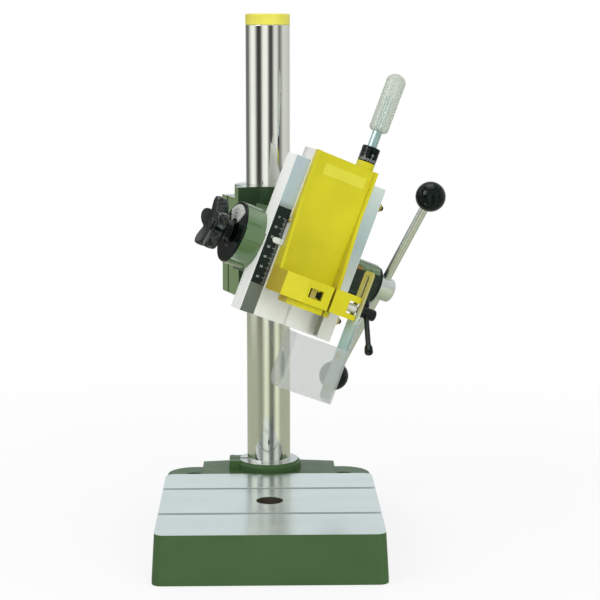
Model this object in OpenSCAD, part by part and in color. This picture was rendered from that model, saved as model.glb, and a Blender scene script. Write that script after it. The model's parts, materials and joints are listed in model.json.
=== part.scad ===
// Drill stand with a tilting head, rack feed and a split tool collar.
// Millimetres, +Z up. The origin is on the column axis, on the underside of the base.
// The table lies towards -Y. The head is drawn upright in its own frame, in_head(), with x to
// the right, y to the back and z up, and is then tilted and swung round the column.

/* [Column] */
// Outer diameter of the column tube
column_d = 45; // [42:0.5:48]
// Wall of the column tube
column_wall = 4; // [2.5:0.5:6]
// Height of the top of the tube above the floor
column_top = 500; // [460:5:600]
// Height of the cap above the tube
cap_h = 11; // [6:1:20]
// Length of the cap's plug inside the tube
cap_plug = 12; // [6:1:20]

/* [Base] */
// Distance from the column axis to the tool axis
throat = 140; // [137:1:160]
// Width of the table at its top
table_w = 210; // [200:1:240]
// Depth of the table from front to back
table_len = 214; // [200:1:216]
// Distance from the tool axis to the table's front edge
table_front = 113; // [100:1:125]
// Height of the table surface
table_h = 46.5; // [44:0.5:50]
// Draft of the base on each side, over its height
base_draft = 2.5; // [1:0.5:4]
// Corner radius of the base
base_corner = 9; // [6:1:14]
// Wall of the base casting round its hollow underside
base_wall = 8; // [6:1:12]
// Thickness of the table over the hollow underside
table_t = 18; // [16:1:24]
// Thickness of the ribs under the table
rib_t = 6; // [4:1:8]
// Distance between the ribs under the table
rib_pitch = 48; // [44:1:52]
// Diameter of the work hole
work_hole_d = 26; // [16:1:34]
// Distance between the two T-slots
tslot_pitch = 88; // [76:1:100]
// Width of a T-slot's neck
tslot_neck = 6; // [5:0.5:8]
// Width of a T-slot's head
tslot_head_w = 11.5; // [10:0.5:14]
// Height of a T-slot's head
tslot_head_h = 5.5; // [4.5:0.5:6.5]
// Depth of a T-slot below the table
tslot_depth = 12; // [10:0.5:14]
// Height of the rear flange
flange_h = 38; // [32:1:40]
// Reach of the rear flange behind the column axis
flange_back = 30; // [26:1:40]
// Distance between the two floor bolts
bolt_pitch = 156; // [140:1:164]
// Distance of the floor bolts in front of the column axis
bolt_y = 10; // [4:1:14]
// Through hole of a floor bolt
bolt_hole_d = 9; // [6:0.5:11]
// Counterbore of a floor bolt
bolt_head_d = 18; // [14:1:22]
// Thickness left under a floor bolt's head
bolt_floor = 12; // [8:1:16]
// Outer diameter of the column boss
boss_d = 67; // [62:1:74]
// Height of the column boss
boss_h = 53; // [52:1:60]
// Chamfer round the top of the column boss
boss_chamfer = 3; // [1:0.5:4]
// Thickness of the floor under the column
socket_floor = 8; // [5:1:14]
// Half length of the raised web that stiffens the boss
web_reach = 69; // [55:1:80]
// Height of the raised web at its ends
web_h = 42; // [40:0.5:44]
// Reach of the clamp ear from the column axis
base_ear_reach = 41; // [39:1:46]
// Thickness of the clamp ear, across its slit
base_ear_t = 26; // [22:1:30]
// Width of the clamp slits
slit_w = 2.5; // [1.5:0.5:4]
// Depth of the base's clamp slit
base_slit_depth = 23; // [18:1:30]
// Diameter of the base clamp screw
base_screw_d = 5; // [4:0.5:5.5]

/* [Bracket] */
// Height of the swivel axis above the floor
swivel_z = 275; // [260:1:310]
// Swing of the head round the column, in degrees
head_yaw = 20; // [0:1:40]
// Radius of the bracket's sleeve
sleeve_r = 34; // [32:0.5:38]
// Reach of the bracket above the swivel axis
bracket_up = 65; // [60:1:72]
// Reach of the bracket below the swivel axis
bracket_down = 45; // [44:1:52]
// Reach of the clamp ears to the side
ear_reach = 42; // [41:1:50]
// Thickness of the front clamp ear
ear_front_t = 20; // [16:1:22]
// Thickness of the rear clamp ear
ear_rear_t = 16; // [12:1:20]
// Height that the ears stand below the top of the sleeve
ear_step = 11; // [6:1:20]
// Distance of the bracket's front face from the column axis
block_front = 28; // [27:0.5:32]
// Depth of the bracket's full-height front block
block_t = 11; // [9:1:13]
// Diameter of the swivel flanges
flange_d = 80; // [76:1:86]
// Distance of the swivel face from the column axis
swivel_face = 50; // [48:0.5:52]
// Thickness of the bracket's swivel flange
flange_t = 12; // [8:1:14]
// Diameter of the bracket's neck behind the flange
neck_d = 64; // [60:1:70]
// Diameter of the swivel spigot
spigot_d = 36; // [32:1:40]
// Length of the swivel spigot
spigot_l = 23.5; // [20:0.5:24]
// Diameter of the bracket's clamp screws
bracket_screw_d = 6; // [5:0.5:7]
// Height of the clamp screws above and below the ears' middle
bracket_screw_z = 30; // [24:1:34]
// Diameter of the swivel lock screw
lock_screw_d = 8; // [6:0.5:9]
// Depth of the groove round the spigot
spigot_groove = 2; // [1:0.5:3]

/* [Swivel head] */
// Tilt of the head, in degrees
head_tilt = 22; // [0:1:45]
// Thickness of the head's swivel disc
disc_t = 8; // [6:0.5:8.5]
// Height of the head casting's body above the pinion axis
body_up = 35; // [30:1:40]
// Height of the head casting's body below the pinion axis
body_down = 33; // [30:1:40]
// Radius of the spring drum
drum_r = 31; // [29:0.5:33]
// Width of the spring drum
drum_w = 20; // [18:0.5:24]
// Radius of the spring chamber
chamber_r = 26; // [24:0.5:27]
// Depth of the spring chamber
chamber_w = 13; // [11:0.5:14]
// Width of the rib on the drum
rib_w = 11; // [8:1:14]
// Height of the rib on the drum
rib_h = 1.6; // [1:0.2:3]
// Radius of the right bearing boss
bearing_r = 20; // [18:0.5:22]
// Length of the right bearing boss
bearing_l = 25; // [22:1:28]
// Outer diameter of the shaft bushes
bush_d = 16; // [15:0.5:18]
// Length of a shaft bush
bush_l = 12; // [8:1:16]
// Thickness of the spring cap
cap_t = 2; // [1.5:0.5:4]
// Radius of the spring cap
cap_r = 30.5; // [29:0.5:33]
// Thickness of the pale insert on the spring cap
insert_t = 0.8; // [0.5:0.1:1.5]
// Turns of the return spring
spring_turns = 5; // [3:1:6]
// Thickness of the return spring
spring_t = 0.8; // [0.5:0.1:1]
// Diameter of the brass stop pin
stop_pin_d = 4; // [3:0.5:5]
// Length of the brass stop pin
stop_pin_l = 15; // [10:1:20]

/* [Guide] */
// Width of the guide plate
guide_w = 100; // [98:1:110]
// Length of the guide plate
guide_l = 158; // [154:1:170]
// Height of the guide's middle above the swivel axis
guide_rise = 12; // [8:1:16]
// Thickness of the guide plate
guide_t = 25; // [24.5:0.5:27]
// Depth of the dovetail channel
channel_depth = 16; // [15.5:0.5:16.5]
// Width of the channel's mouth
channel_mouth = 70; // [69:0.5:72]
// Angle of the dovetail, in degrees
dovetail_angle = 60; // [58:1:64]
// Thickness of the gib
gib_t = 4; // [3:0.5:4.5]
// Distance of the gib's ends from the guide's ends
gib_inset = 2; // [1:0.5:5]
// Diameter of the gib screws
gib_screw_d = 5; // [4:0.5:6]
// Height of the upper gib screw below the guide's top
gib_screw_top = 18; // [14:1:30]
// Height of the lower gib screw below the guide's top
gib_screw_low = 136; // [120:1:144]
// Diameter of the guide screws
guide_screw_d = 5; // [4:0.5:6]
// Half distance between the guide screws
guide_screw_x = 28; // [24:1:32]
// Width of the depth scale
scale_w = 14; // [10:0.5:14.5]
// Length of the depth scale
scale_l = 77; // [70:1:90]
// Height of the depth scale's top below the guide's top
scale_top = 51.6; // [44:0.2:60]
// Thickness of the depth scale
scale_t = 0.4; // [0.3:0.1:0.6]

/* [Feed] */
// Travel of the slide
feed_travel = 65; // [50:1:65]
// Length of the dovetail slide
slide_l = 130; // [126:1:140]
// Rise of the slide's left part above the guide
slide_rise = 11; // [6:0.5:11]
// Module of the rack and pinion
gear_module = 1.5; // [1.4:0.05:1.55]
// Teeth of the pinion
pinion_teeth = 22; // [21:1:22]
// Pressure angle of the teeth, in degrees
pressure_angle = 20; // [18:0.5:22]
// Backlash between the teeth
backlash = 0.3; // [0.2:0.05:0.5]
// Width of the rack
rack_w = 10; // [8:0.5:12]
// Depth of the rack below its teeth
rack_base = 7; // [6:0.5:8]
// Diameter of the rack screws
rack_screw_d = 4; // [3:0.5:5]
// Distance of the pinion axis behind the guide's front
pinion_setback = 36; // [36:0.2:37]
// Height of the pinion axis below the guide's top
pinion_drop = 90; // [86:1:94]
// Diameter of the pinion shaft
shaft_d = 12; // [10:0.5:13]

/* [Lever] */
// Radius of the stop ring
ring_r = 20; // [17:0.5:22]
// Width of the stop ring
ring_w = 10.5; // [8:0.5:14]
// Radius of the friction disc
disc_r = 18.5; // [15:0.5:20]
// Thickness of the friction disc
friction_t = 4; // [3:0.5:6]
// Diameter of the lever hub
hub_d = 21.5; // [20:0.5:26]
// Length of the lever hub
hub_l = 18; // [16:0.5:24]
// Diameter of the lever rod
lever_d = 9; // [7:0.5:10]
// Distance of the ball's centre from the pinion axis
lever_arm = 106; // [90:1:110]
// Diameter of a lever ball
ball_d = 30; // [24:1:34]
// Lean of the lever towards the front, in degrees
lever_lean = 18; // [0:1:40]
// Diameter of the grub screws
grub_d = 5; // [4:0.5:6]

/* [Lock knob] */
// Diameter across the lobes of the lock knob
knob_d = 55; // [48:1:60]
// Thickness of the lock knob
knob_t = 16; // [14:1:22]
// Thickness of a lobe
petal_t = 7; // [6:0.5:9]
// Gap between the spring cap and the knob's neck
knob_gap = 1.5; // [0.5:0.5:4]
// Length of the knob's neck
neck_l = 9; // [6:0.5:12]
// Number of lobes
knob_lobes = 5; // [3:1:7]
// Radius of a lobe
lobe_r = 8.5; // [7:0.5:10]
// Diameter of the lock stud
stud_d = 8; // [6:0.5:10]

/* [Tool holder] */
// Diameter of the tool collar
collar_d = 43; // [40:0.5:44]
// Distance of the tool axis ahead of the guide's front
collar_reach = 26; // [25.5:0.5:28]
// Height of the collar block
collar_h = 23; // [22:1:30]
// Height of the lip under the collar block
lip_h = 6; // [3:0.5:8]
// Wall of the lip round the collar
lip_wall = 4; // [3:0.5:6]
// Width of the holder's plate
holder_w = 67; // [64:0.5:69]
// Thickness of the holder's plate
holder_t = 3.7; // [3.6:0.1:3.8]
// Rise of the holder's plate above the guide
holder_rise = 11.5; // [11.5:0.5:20]
// Depth of the holder's side rims
rim_h = 3; // [2:0.5:5]
// Thickness of the side rims and gussets
rim_t = 3; // [2:0.5:4]
// Depth of the gussets where they meet the collar block
gusset_h = 14; // [8:1:20]
// Height of the gussets
gusset_l = 70; // [50:1:90]
// Wall in front of the clamp screw
front_wall = 3; // [2:0.5:5]
// Chamfer of the collar block's left front corner
collar_chamfer = 17; // [12:1:20]
// Offset of the collar's slit from the tool axis
slit_x = 11; // [9:0.5:13]
// Reach of the clamp ear from the tool axis
clamp_ear = 40; // [39:0.5:46]
// Length of the fork at the ear's end
fork_l = 11; // [8:0.5:13]
// Height of the fork's slot
fork_h = 12; // [10:0.5:14]
// Width of the tongue that guides the holder
tongue_w = 24; // [18:1:30]
// Depth of the tongue that guides the holder
tongue_h = 2; // [1.5:0.1:2.2]
// Width of the plain plate near the holder's top
label_w = 46; // [30:1:56]
// Height of the plain plate
label_h = 11; // [8:1:16]
// Offset of the plain plate to the right
label_x = 2; // [0:0.5:4]
// Height of the plain plate's middle below the guide's top
label_drop = 3; // [0:1:30]
// Thickness of the plain plate
label_t = 0.4; // [0.3:0.1:1]

/* [Fine feed] */
// Offset of the fine-feed spindle to the right
spindle_x = 22.5; // [20:0.5:22.5]
// Distance of the spindle behind the guide's front
spindle_setback = 6; // [5.5:0.5:6.5]
// Diameter of the spindle's thread
spindle_d = 6; // [5:0.5:7]
// Diameter of the spindle's plain shank
shank_d = 9.2; // [7:0.2:12]
// Height of the spindle's shank between dial and grip
shank_l = 16; // [10:1:24]
// Diameter of the spindle's boss on the holder
spindle_boss_d = 18; // [14:0.5:18.5]
// Height of the spindle's boss
spindle_boss_h = 6.5; // [4:0.5:10]
// Thickness of the lug that carries the boss
lug_t = 7; // [6:0.5:7.5]
// Diameter of the dial
dial_d = 18; // [14:0.5:18.5]
// Height of the dial
dial_h = 15.5; // [10:0.5:20]
// Diameter of the grip
grip_d = 17.5; // [14:0.5:18.5]
// Length of the grip
grip_l = 59; // [45:1:70]
// Outer diameter of the fine-feed nut
nut_d = 9.5; // [8.5:0.5:10]
// Length of the fine-feed nut
nut_l = 16; // [10:1:24]

/* [Collar clamp] */
// Diameter of the clamp screw
clamp_d = 6; // [5:0.5:6]
// Height of the clamp screw above the collar block's bottom
clamp_z = 11; // [10:0.5:12]
// Diameter of the clamp screw's spacer
spacer_d = 8.5; // [7.5:0.5:9.5]
// Diameter of the clamp screw's head
head_d = 11; // [9:0.5:14]
// Length of the clamp screw's head
head_l = 18; // [12:0.5:22]
// Width across the clamp nut's flats
clamp_nut_w = 9; // [8:0.5:9]
// Thickness of the clamp nut
clamp_nut_t = 6; // [4:0.5:8]
// Width of the window for the clamp nut
window_w = 14; // [12:0.5:16]
// Diameter of the tommy bar
tommy_d = 5; // [4:0.5:6]
// Length of the tommy bar over its caps
tommy_l = 66; // [54:1:80]
// Diameter of a tommy bar's cap
tommy_cap_d = 8; // [7:0.5:9]
// Length of a tommy bar's cap
tommy_cap_l = 10; // [6:0.5:14]
// Turn of the tommy bar from upright, in degrees
tommy_turn = 47; // [0:1:90]

/* [Shield] */
// Width of the shield's strap
strap_w = 20; // [18:1:26]
// Thickness of the strap
strap_t = 2; // [1.5:0.1:3]
// Length of the strap above the clamp screw
strap_up = 38; // [32:1:46]
// Length of the strap below the clamp screw
strap_down = 89; // [84:1:100]
// Distance of the slot's upper end from the strap's upper end
slot_margin = 7; // [5:0.5:12]
// Length of the slot below the clamp screw
slot_low = 4; // [2:0.5:8]
// Thickness of the clear shield
shield_t = 1.6; // [1:0.1:2.5]
// Width of the shield's front panel
shield_w = 57; // [44:1:66]
// Height of the shield's front panel
shield_h = 53; // [40:1:60]
// Height of the shield's side panel
shield_side_h = 80; // [66:1:81]
// Depth of the shield's left return
shield_return = 30; // [20:1:36]
// Distance of the front panel ahead of the strap
shield_ahead = 5; // [3:0.5:8]
// Outer bend radius of the shield
shield_bend = 4; // [3:0.5:4]
// Diameter of the shield's screws
shield_screw_d = 4; // [3:0.5:5]
// Distance between the shield's screws
shield_screw_pitch = 33; // [28:1:38]

/* [Pointer] */
// Height of the pointer below the guide's top
pointer_drop = 83; // [70:1:100]
// Width of the pointer's tip
pointer_w = 7; // [4:0.5:10]
// Thickness of the pointer
pointer_t = 1.2; // [0.8:0.1:2]
// Height of the pointer's stem
pointer_l = 26; // [18:1:34]

/* [Fits] */
// Gap between sliding faces
slide_gap = 0.3; // [0.25:0.05:0.5]
// Radial clearance of shafts, pins and screws in their holes
run_clear = 0.05; // [0.03:0.01:0.08]

/* [Hidden] */
$fn = 64;
hull_fn = 32;
over = 1;

// Colours
green = [0.29, 0.42, 0.24];
yellow = [0.83, 0.80, 0.17];
alloy = [0.86, 0.87, 0.86];
steel = [0.72, 0.74, 0.75];
black = [0.09, 0.11, 0.11];
gold = [0.80, 0.67, 0.33];
bronze = [0.66, 0.47, 0.27];
clear = [0.85, 0.90, 0.92, 0.4];
pale = [0.81, 0.83, 0.79];

// Base
table_y0 = -(throat + table_front);
table_y1 = table_y0 + table_len;
bolt_pad_r = 28;
bolt_pad_x = table_w / 2 - bolt_pad_r;
rib_count = 4;
pocket_top = table_h - table_t;
column_r = column_d / 2;
socket_r = column_r + run_clear;
ear_screw_x = (base_ear_reach + boss_d / 2) / 2;
ear_screw_z = (boss_h + web_h) / 2 + 1;
socket_head_d = 1.6;

// Bracket
ear_front_y1 = -block_front + block_t + ear_front_t;
bracket_slit_w = 3;
ear_rear_y0 = ear_front_y1 + bracket_slit_w;
ear_rear_y1 = ear_rear_y0 + ear_rear_t;
bracket_screw_x = (ear_reach + column_r) / 2 + 2.5;
bracket_screw_tip = -block_front + block_t;
bracket_screw_mid = (bracket_up - ear_step - bracket_down) / 2;
flange_y0 = -swivel_face + slide_gap;
groove_w = lock_screw_d + 1;
lock_y = -(block_front + swivel_face - flange_t) / 2;

// Head planes, front to back
front_y = -(throat - collar_reach);
back_y = front_y + guide_t;
floor_y = front_y + channel_depth;
disc_y = -swivel_face - disc_t;
guide_top = guide_rise + guide_l / 2;
guide_bottom = guide_rise - guide_l / 2;
flank = tan(90 - dovetail_angle);
flank_cos = cos(90 - dovetail_angle);
gib_dx = gib_t / flank_cos;
gap_dx = slide_gap / flank_cos;
lip_len = (guide_w - channel_mouth) / 2;

// Feed gears
pinion_y = front_y + pinion_setback;
pinion_z = guide_top - pinion_drop;
pitch_r = gear_module * pinion_teeth / 2;
tip_r = pitch_r + gear_module;
root_r = pitch_r - 1.25 * gear_module;
rack_pitch_y = pinion_y - pitch_r;
rack_tip_y = rack_pitch_y + gear_module;
rack_root_y = rack_pitch_y - 1.25 * gear_module;
rack_back_y = rack_root_y - rack_base;
tooth_pitch = PI * gear_module;
rack_first = -3;
rack_last = ceil(feed_travel / tooth_pitch) + 3;
pinion_w = rack_w + 1;
groove_side = 1.3;
pocket_side = 2;
rack_z0 = pinion_z + (rack_first - 0.5) * tooth_pitch;
rack_z1 = pinion_z + (rack_last + 0.5) * tooth_pitch;

// Head casting and shaft, left to right
side_x = guide_w / 2;
drum_x = -side_x - drum_w;
chamber_x = drum_x + chamber_w;
bearing_x = side_x + bearing_l;
ring_x0 = bearing_x + slide_gap;
ring_x1 = ring_x0 + ring_w;
disc_x1 = ring_x1 + friction_t;
hub_x0 = disc_x1 + slide_gap;
hub_x1 = hub_x0 + hub_l;
hub_x = (hub_x0 + hub_x1) / 2;
hub_web = 1;
hub_screw_l = (hub_l - lever_d) / 2 - 1;
shaft_x0 = drum_x + 1;
knob_x1 = drum_x - cap_t - knob_gap;
knob_hub_r = 12;
spring_x0 = drum_x + 2;
spring_x1 = chamber_x - 2;
stop_pin_angle = 32;
guide_screw_inset = 1.8 * guide_screw_d;
guide_screw_grip = 3 * guide_screw_d;
guide_screw_zs = [pinion_z - body_down + guide_screw_inset, pinion_z + body_up - guide_screw_inset];

// Slide and holder
slide_z1 = guide_top;
slide_z0 = slide_z1 - slide_l;
slide_step_x0 = -channel_mouth / 2 - 4;
slide_step_x1 = spindle_x - spindle_boss_d / 2 - 3;
holder_back = front_y - slide_gap;
holder_front = holder_back - holder_t;
holder_z1 = guide_top + holder_rise;
holder_z0 = slide_z0;
tool_y = front_y - collar_reach;
collar_r = collar_d / 2;
collar_top = holder_z0 + collar_h;
clamp_y = tool_y - collar_r - clamp_d / 2 - 1;
block_face = clamp_y - clamp_d / 2 - front_wall;
screw_z = holder_z0 + clamp_z;
fork_x = clamp_ear - fork_l;
window_x1 = 1;
window_x0 = window_x1 - window_w;
nut_x0 = window_x0 + 2;
tongue_taper = 1;
tongue_y = front_y - tongue_h;

// Fine feed
spindle_y = front_y + spindle_setback;
boss_top = holder_z1 + spindle_boss_h;
dial_z0 = boss_top + slide_gap;
dial_z1 = dial_z0 + dial_h;
grip_z0 = dial_z1 + shank_l;
spindle_z0 = slide_z1 - nut_l + 2;

// Clamp, tommy bar and shield
strap_x0 = clamp_ear + slide_gap;
strap_x1 = strap_x0 + strap_t;
head_x0 = strap_x1 + slide_gap;
head_x1 = head_x0 + head_l;
tommy_x = (head_x0 + head_x1) / 2;
tommy_drop = tommy_l / 2 - tommy_cap_l - head_d / 2 - slide_gap;
strap_z1 = screw_z + strap_up;
strap_z0 = screw_z - strap_down;
slot_w = clamp_d + 2 * slide_gap;
shield_drop = 3;
shield_z0 = strap_z0 - shield_drop;
shield_x1 = strap_x1 + shield_t;
shield_x0 = shield_x1 - shield_w;
shield_y0 = clamp_y - strap_w / 2 - shield_t - shield_ahead;
shield_screw_z = strap_z0 + strap_w / 2;
shield_screw_zs = [shield_screw_z, shield_screw_z + shield_screw_pitch];

// Pointer
pointer_z = guide_top - pointer_drop;
pointer_y1 = front_y - scale_t - slide_gap;
pointer_x1 = -holder_w / 2;
pointer_x0 = -side_x + 6;

// Helpers: boxes by their limits, and cylinders along the axes
module box(x0, x1, y0, y1, z0, z1) {
    translate([x0, y0, z0]) cube([x1 - x0, y1 - y0, z1 - z0]);
}
module along_x(x0, x1, d) {
    translate([x0, 0, 0]) rotate([0, 90, 0]) cylinder(h = x1 - x0, d = d);
}
module along_y(y0, y1, d) {
    translate([0, y0, 0]) rotate([-90, 0, 0]) cylinder(h = y1 - y0, d = d);
}
module along_z(z0, z1, d) {
    translate([0, 0, z0]) cylinder(h = z1 - z0, d = d);
}
module tube_x(x0, x1, outer_d, inner_d) {
    difference() {
        along_x(x0, x1, outer_d);
        along_x(x0 - over, x1 + over, inner_d);
    }
}
module plan(z0, z1) {
    translate([0, 0, z0]) linear_extrude(z1 - z0) children();
}
module side(x0, x1) {
    translate([x0, 0, 0]) rotate([90, 0, 90]) linear_extrude(x1 - x0) children();
}
module rounded_slab(x0, x1, y0, y1, z0, z1, r) {
    for (x = [x0 + r, x1 - r], y = [y0 + r, y1 - r])
        translate([x, y, z0]) cylinder(h = z1 - z0, r = r, $fn = hull_fn);
}
module cap_screw_y(y0, y1, d, head_h) {
    along_y(y0, y1, d);
    difference() {
        along_y(y1, y1 + head_h, d * socket_head_d);
        translate([0, y1 + head_h / 2, 0]) rotate([-90, 0, 0]) cylinder(h = head_h, d = d * 0.9, $fn = 6);
    }
}
module grub_z(z0, z1, d) {
    difference() {
        along_z(z0, z1, d);
        translate([0, 0, z1 - d / 2]) cylinder(h = d, d = d * 0.6, $fn = 6);
    }
}

// Frames of the bracket, the head and the pinion shaft
module in_bracket() {
    translate([0, 0, swivel_z]) rotate([0, 0, head_yaw]) children();
}
module in_head() {
    in_bracket() rotate([0, head_tilt, 0]) children();
}
module on_shaft() {
    translate([0, pinion_y, pinion_z]) children();
}
module on_clamp() {
    translate([0, clamp_y, screw_z]) children();
}
module on_spindle() {
    translate([spindle_x, spindle_y, 0]) children();
}

// Base casting
module table_block() {
    w = table_w / 2;
    d = base_draft;
    hull() {
        rounded_slab(-w - d, w + d, table_y0 - d, table_y1, 0, 4, base_corner);
        rounded_slab(-w, w, table_y0, table_y1, table_h - 1, table_h, base_corner);
    }
}
module rear_flange() {
    hull() {
        for (s = [-1, 1])
            translate([s * bolt_pad_x, flange_back - bolt_pad_r - 8, 0])
                cylinder(h = flange_h, r = bolt_pad_r, $fn = hull_fn);
        box(-table_w / 2, table_w / 2, table_y1 - base_corner - 2, table_y1, 0, flange_h);
    }
}
module boss_web() {
    hull() {
        cylinder(h = web_h + 2, r = boss_d / 2 - 0.5, $fn = hull_fn);
        box(-web_reach, web_reach, table_y1 - 2, flange_back, 0, web_h);
    }
}
module column_boss() {
    rotate_extrude() polygon([
        [0, 0], [boss_d / 2, 0], [boss_d / 2, boss_h - boss_chamfer],
        [boss_d / 2 - boss_chamfer, boss_h], [0, boss_h]
    ]);
}
module tslot(y) {
    w = table_w / 2 + base_draft + over;
    z = table_h - tslot_depth;
    box(-w, w, y - tslot_neck / 2, y + tslot_neck / 2, z, table_h + over);
    box(-w, w, y - tslot_head_w / 2, y + tslot_head_w / 2, z, z + tslot_head_h);
}
module underside() {
    y0 = table_y0 + base_wall;
    y1 = table_y1 - base_wall;
    x1 = table_w / 2 - base_wall;
    difference() {
        box(-x1, x1, y0, y1, -over, pocket_top);
        for (i = [0 : rib_count - 1]) {
            x = (i - (rib_count - 1) / 2) * rib_pitch;
            box(x - rib_t / 2, x + rib_t / 2, y0 - over, y1 + over, -2 * over, pocket_top + over);
        }
    }
}
module base_casting() {
    color(green) difference() {
        union() {
            table_block();
            rear_flange();
            boss_web();
            column_boss();
            box(-base_ear_reach, -socket_r, -base_ear_t / 2, base_ear_t / 2, web_h - 2, boss_h);
        }
        underside();
        translate([0, 0, socket_floor]) cylinder(h = boss_h, r = socket_r);
        translate([0, -throat, -over]) cylinder(h = table_h + 2 * over, d = work_hole_d);
        for (s = [-1, 1]) {
            tslot(-throat + s * tslot_pitch / 2);
            translate([s * bolt_pitch / 2, -bolt_y, -over]) cylinder(h = table_h, d = bolt_hole_d);
            translate([s * bolt_pitch / 2, -bolt_y, bolt_floor]) cylinder(h = table_h, d = bolt_head_d);
        }
        box(-base_ear_reach - over, 0, -slit_w / 2, slit_w / 2, boss_h - base_slit_depth, boss_h + over);
        translate([-ear_screw_x, 0, ear_screw_z])
            along_y(-base_ear_t / 2 + 3, base_ear_t / 2 + over, base_screw_d + 2 * run_clear);
    }
}
module base_clamp_screw() {
    color(steel) translate([-ear_screw_x, 0, ear_screw_z])
        cap_screw_y(-base_ear_t / 2 + 4, base_ear_t / 2, base_screw_d, base_screw_d);
}

// Column and its cap
module column() {
    color(steel) difference() {
        along_z(socket_floor + slide_gap, column_top, column_d);
        along_z(0, column_top + over, column_d - 2 * column_wall);
    }
}
module column_cap() {
    plug_r = column_r - column_wall - run_clear;
    edge = 2;
    color(yellow) rotate_extrude() polygon([
        [0, column_top - cap_plug], [plug_r, column_top - cap_plug], [plug_r, column_top],
        [column_r, column_top], [column_r, column_top + cap_h - edge],
        [column_r - edge, column_top + cap_h], [0, column_top + cap_h]
    ]);
}

// Bracket on the column
module column_bracket() {
    ear_top = bracket_up - ear_step;
    neck_y = -swivel_face + flange_t;
    color(green) in_bracket() difference() {
        union() {
            along_z(-bracket_down, bracket_up, 2 * sleeve_r);
            box(-ear_reach, sleeve_r, -block_front, -block_front + block_t, -bracket_down, bracket_up);
            box(-ear_reach, 0, -block_front + block_t - over, ear_front_y1, -bracket_down, ear_top);
            box(-ear_reach, 0, ear_rear_y0, ear_rear_y1, -bracket_down, ear_top);
            along_y(flange_y0, neck_y, flange_d);
            along_y(neck_y - over, -block_front + over, neck_d);
        }
        along_z(-bracket_down - over, bracket_up + over, 2 * socket_r);
        box(-ear_reach - over, 0, ear_front_y1, ear_rear_y0, -bracket_down - over, bracket_up + over);
        along_y(-swivel_face - over, -swivel_face + spigot_l + 0.5, spigot_d + 2 * run_clear);
        for (s = [-1, 1])
            translate([-bracket_screw_x, 0, s * bracket_screw_z + bracket_screw_mid])
                along_y(bracket_screw_tip, ear_rear_y1 + over, bracket_screw_d + 2 * run_clear);
        translate([0, lock_y, 0]) along_z(-bracket_down - over, -spigot_d / 4, lock_screw_d + 2 * run_clear);
    }
}
module bracket_clamp_screws() {
    color(steel) in_bracket() for (s = [-1, 1])
        translate([-bracket_screw_x, 0, s * bracket_screw_z + bracket_screw_mid])
            cap_screw_y(bracket_screw_tip + 1, ear_rear_y1, bracket_screw_d, bracket_screw_d);
}
module swivel_lock_screw() {
    color(steel) in_bracket() translate([0, lock_y, 0]) mirror([0, 0, 1])
        grub_z(spigot_d / 2 - spigot_groove + slide_gap, neck_d / 2, lock_screw_d);
}

// Swivel casting with the spring drum and the right bearing
module stop_pin_place() {
    on_shaft() rotate([-stop_pin_angle, 0, 0]) translate([0, -bearing_r, 0]) children();
}
module swivel_casting() {
    color(green) in_head() difference() {
        union() {
            along_y(disc_y, -swivel_face, flange_d);
            along_y(-swivel_face - over, -swivel_face + spigot_l, spigot_d);
            box(-side_x, side_x, back_y, disc_y + over, pinion_z - body_down, pinion_z + body_up);
            on_shaft() along_x(drum_x, -side_x, 2 * drum_r);
            on_shaft() box(drum_x, -side_x, -drum_r - rib_h, 0, 3 - rib_w / 2, 3 + rib_w / 2);
            on_shaft() along_x(side_x - over, bearing_x, 2 * bearing_r);
        }
        difference() {
            translate([0, lock_y, 0]) rotate([90, 0, 0])
                translate([0, 0, -groove_w / 2]) cylinder(h = groove_w, d = spigot_d + 2);
            along_y(-swivel_face, 0, spigot_d - 2 * spigot_groove);
        }
        box(-side_x, side_x, front_y - over, back_y, -guide_l, guide_l);
        on_shaft() {
            along_x(drum_x - over, chamber_x, 2 * chamber_r);
            along_x(drum_x, bearing_x + over, bush_d + 2 * run_clear);
            along_x(-pinion_w / 2 - pocket_side, pinion_w / 2 + pocket_side, 2 * tip_r + 2 * pocket_side);
        }
        for (x = [-guide_screw_x, guide_screw_x], z = guide_screw_zs)
            translate([x, 0, z]) along_y(back_y - over, back_y + guide_screw_grip + 2, guide_screw_d + 2 * run_clear);
        stop_pin_place() along_x(side_x, side_x + stop_pin_l, stop_pin_d + 2 * run_clear);
    }
}
module shaft_bushes() {
    color(bronze) in_head() on_shaft()
        for (x = [chamber_x, bearing_x - bush_l])
            tube_x(x, x + bush_l, bush_d, shaft_d + 2 * run_clear);
}
module stop_pin() {
    color(bronze) in_head() stop_pin_place() along_x(side_x, side_x + stop_pin_l, stop_pin_d);
}
module spring_cap() {
    edge = 0.8;
    color(black) in_head() on_shaft() translate([drum_x, 0, 0]) rotate([0, -90, 0]) difference() {
        rotate_extrude() polygon([
            [0, 0], [cap_r, 0], [cap_r, cap_t - edge], [cap_r - edge, cap_t], [0, cap_t]
        ]);
        translate([0, 0, -over]) cylinder(h = cap_t + 2 * over, d = stud_d + 2 * run_clear);
    }
}
module cap_insert() {
    outer = cap_r - 3;
    inner = 14;
    color(pale) in_head() on_shaft() side(drum_x - cap_t - insert_t, drum_x - cap_t) difference() {
        circle(r = outer);
        circle(r = inner);
        translate([-2 * outer, -2 * outer]) square([4 * outer, 2 * outer + 3]);
    }
}
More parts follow.
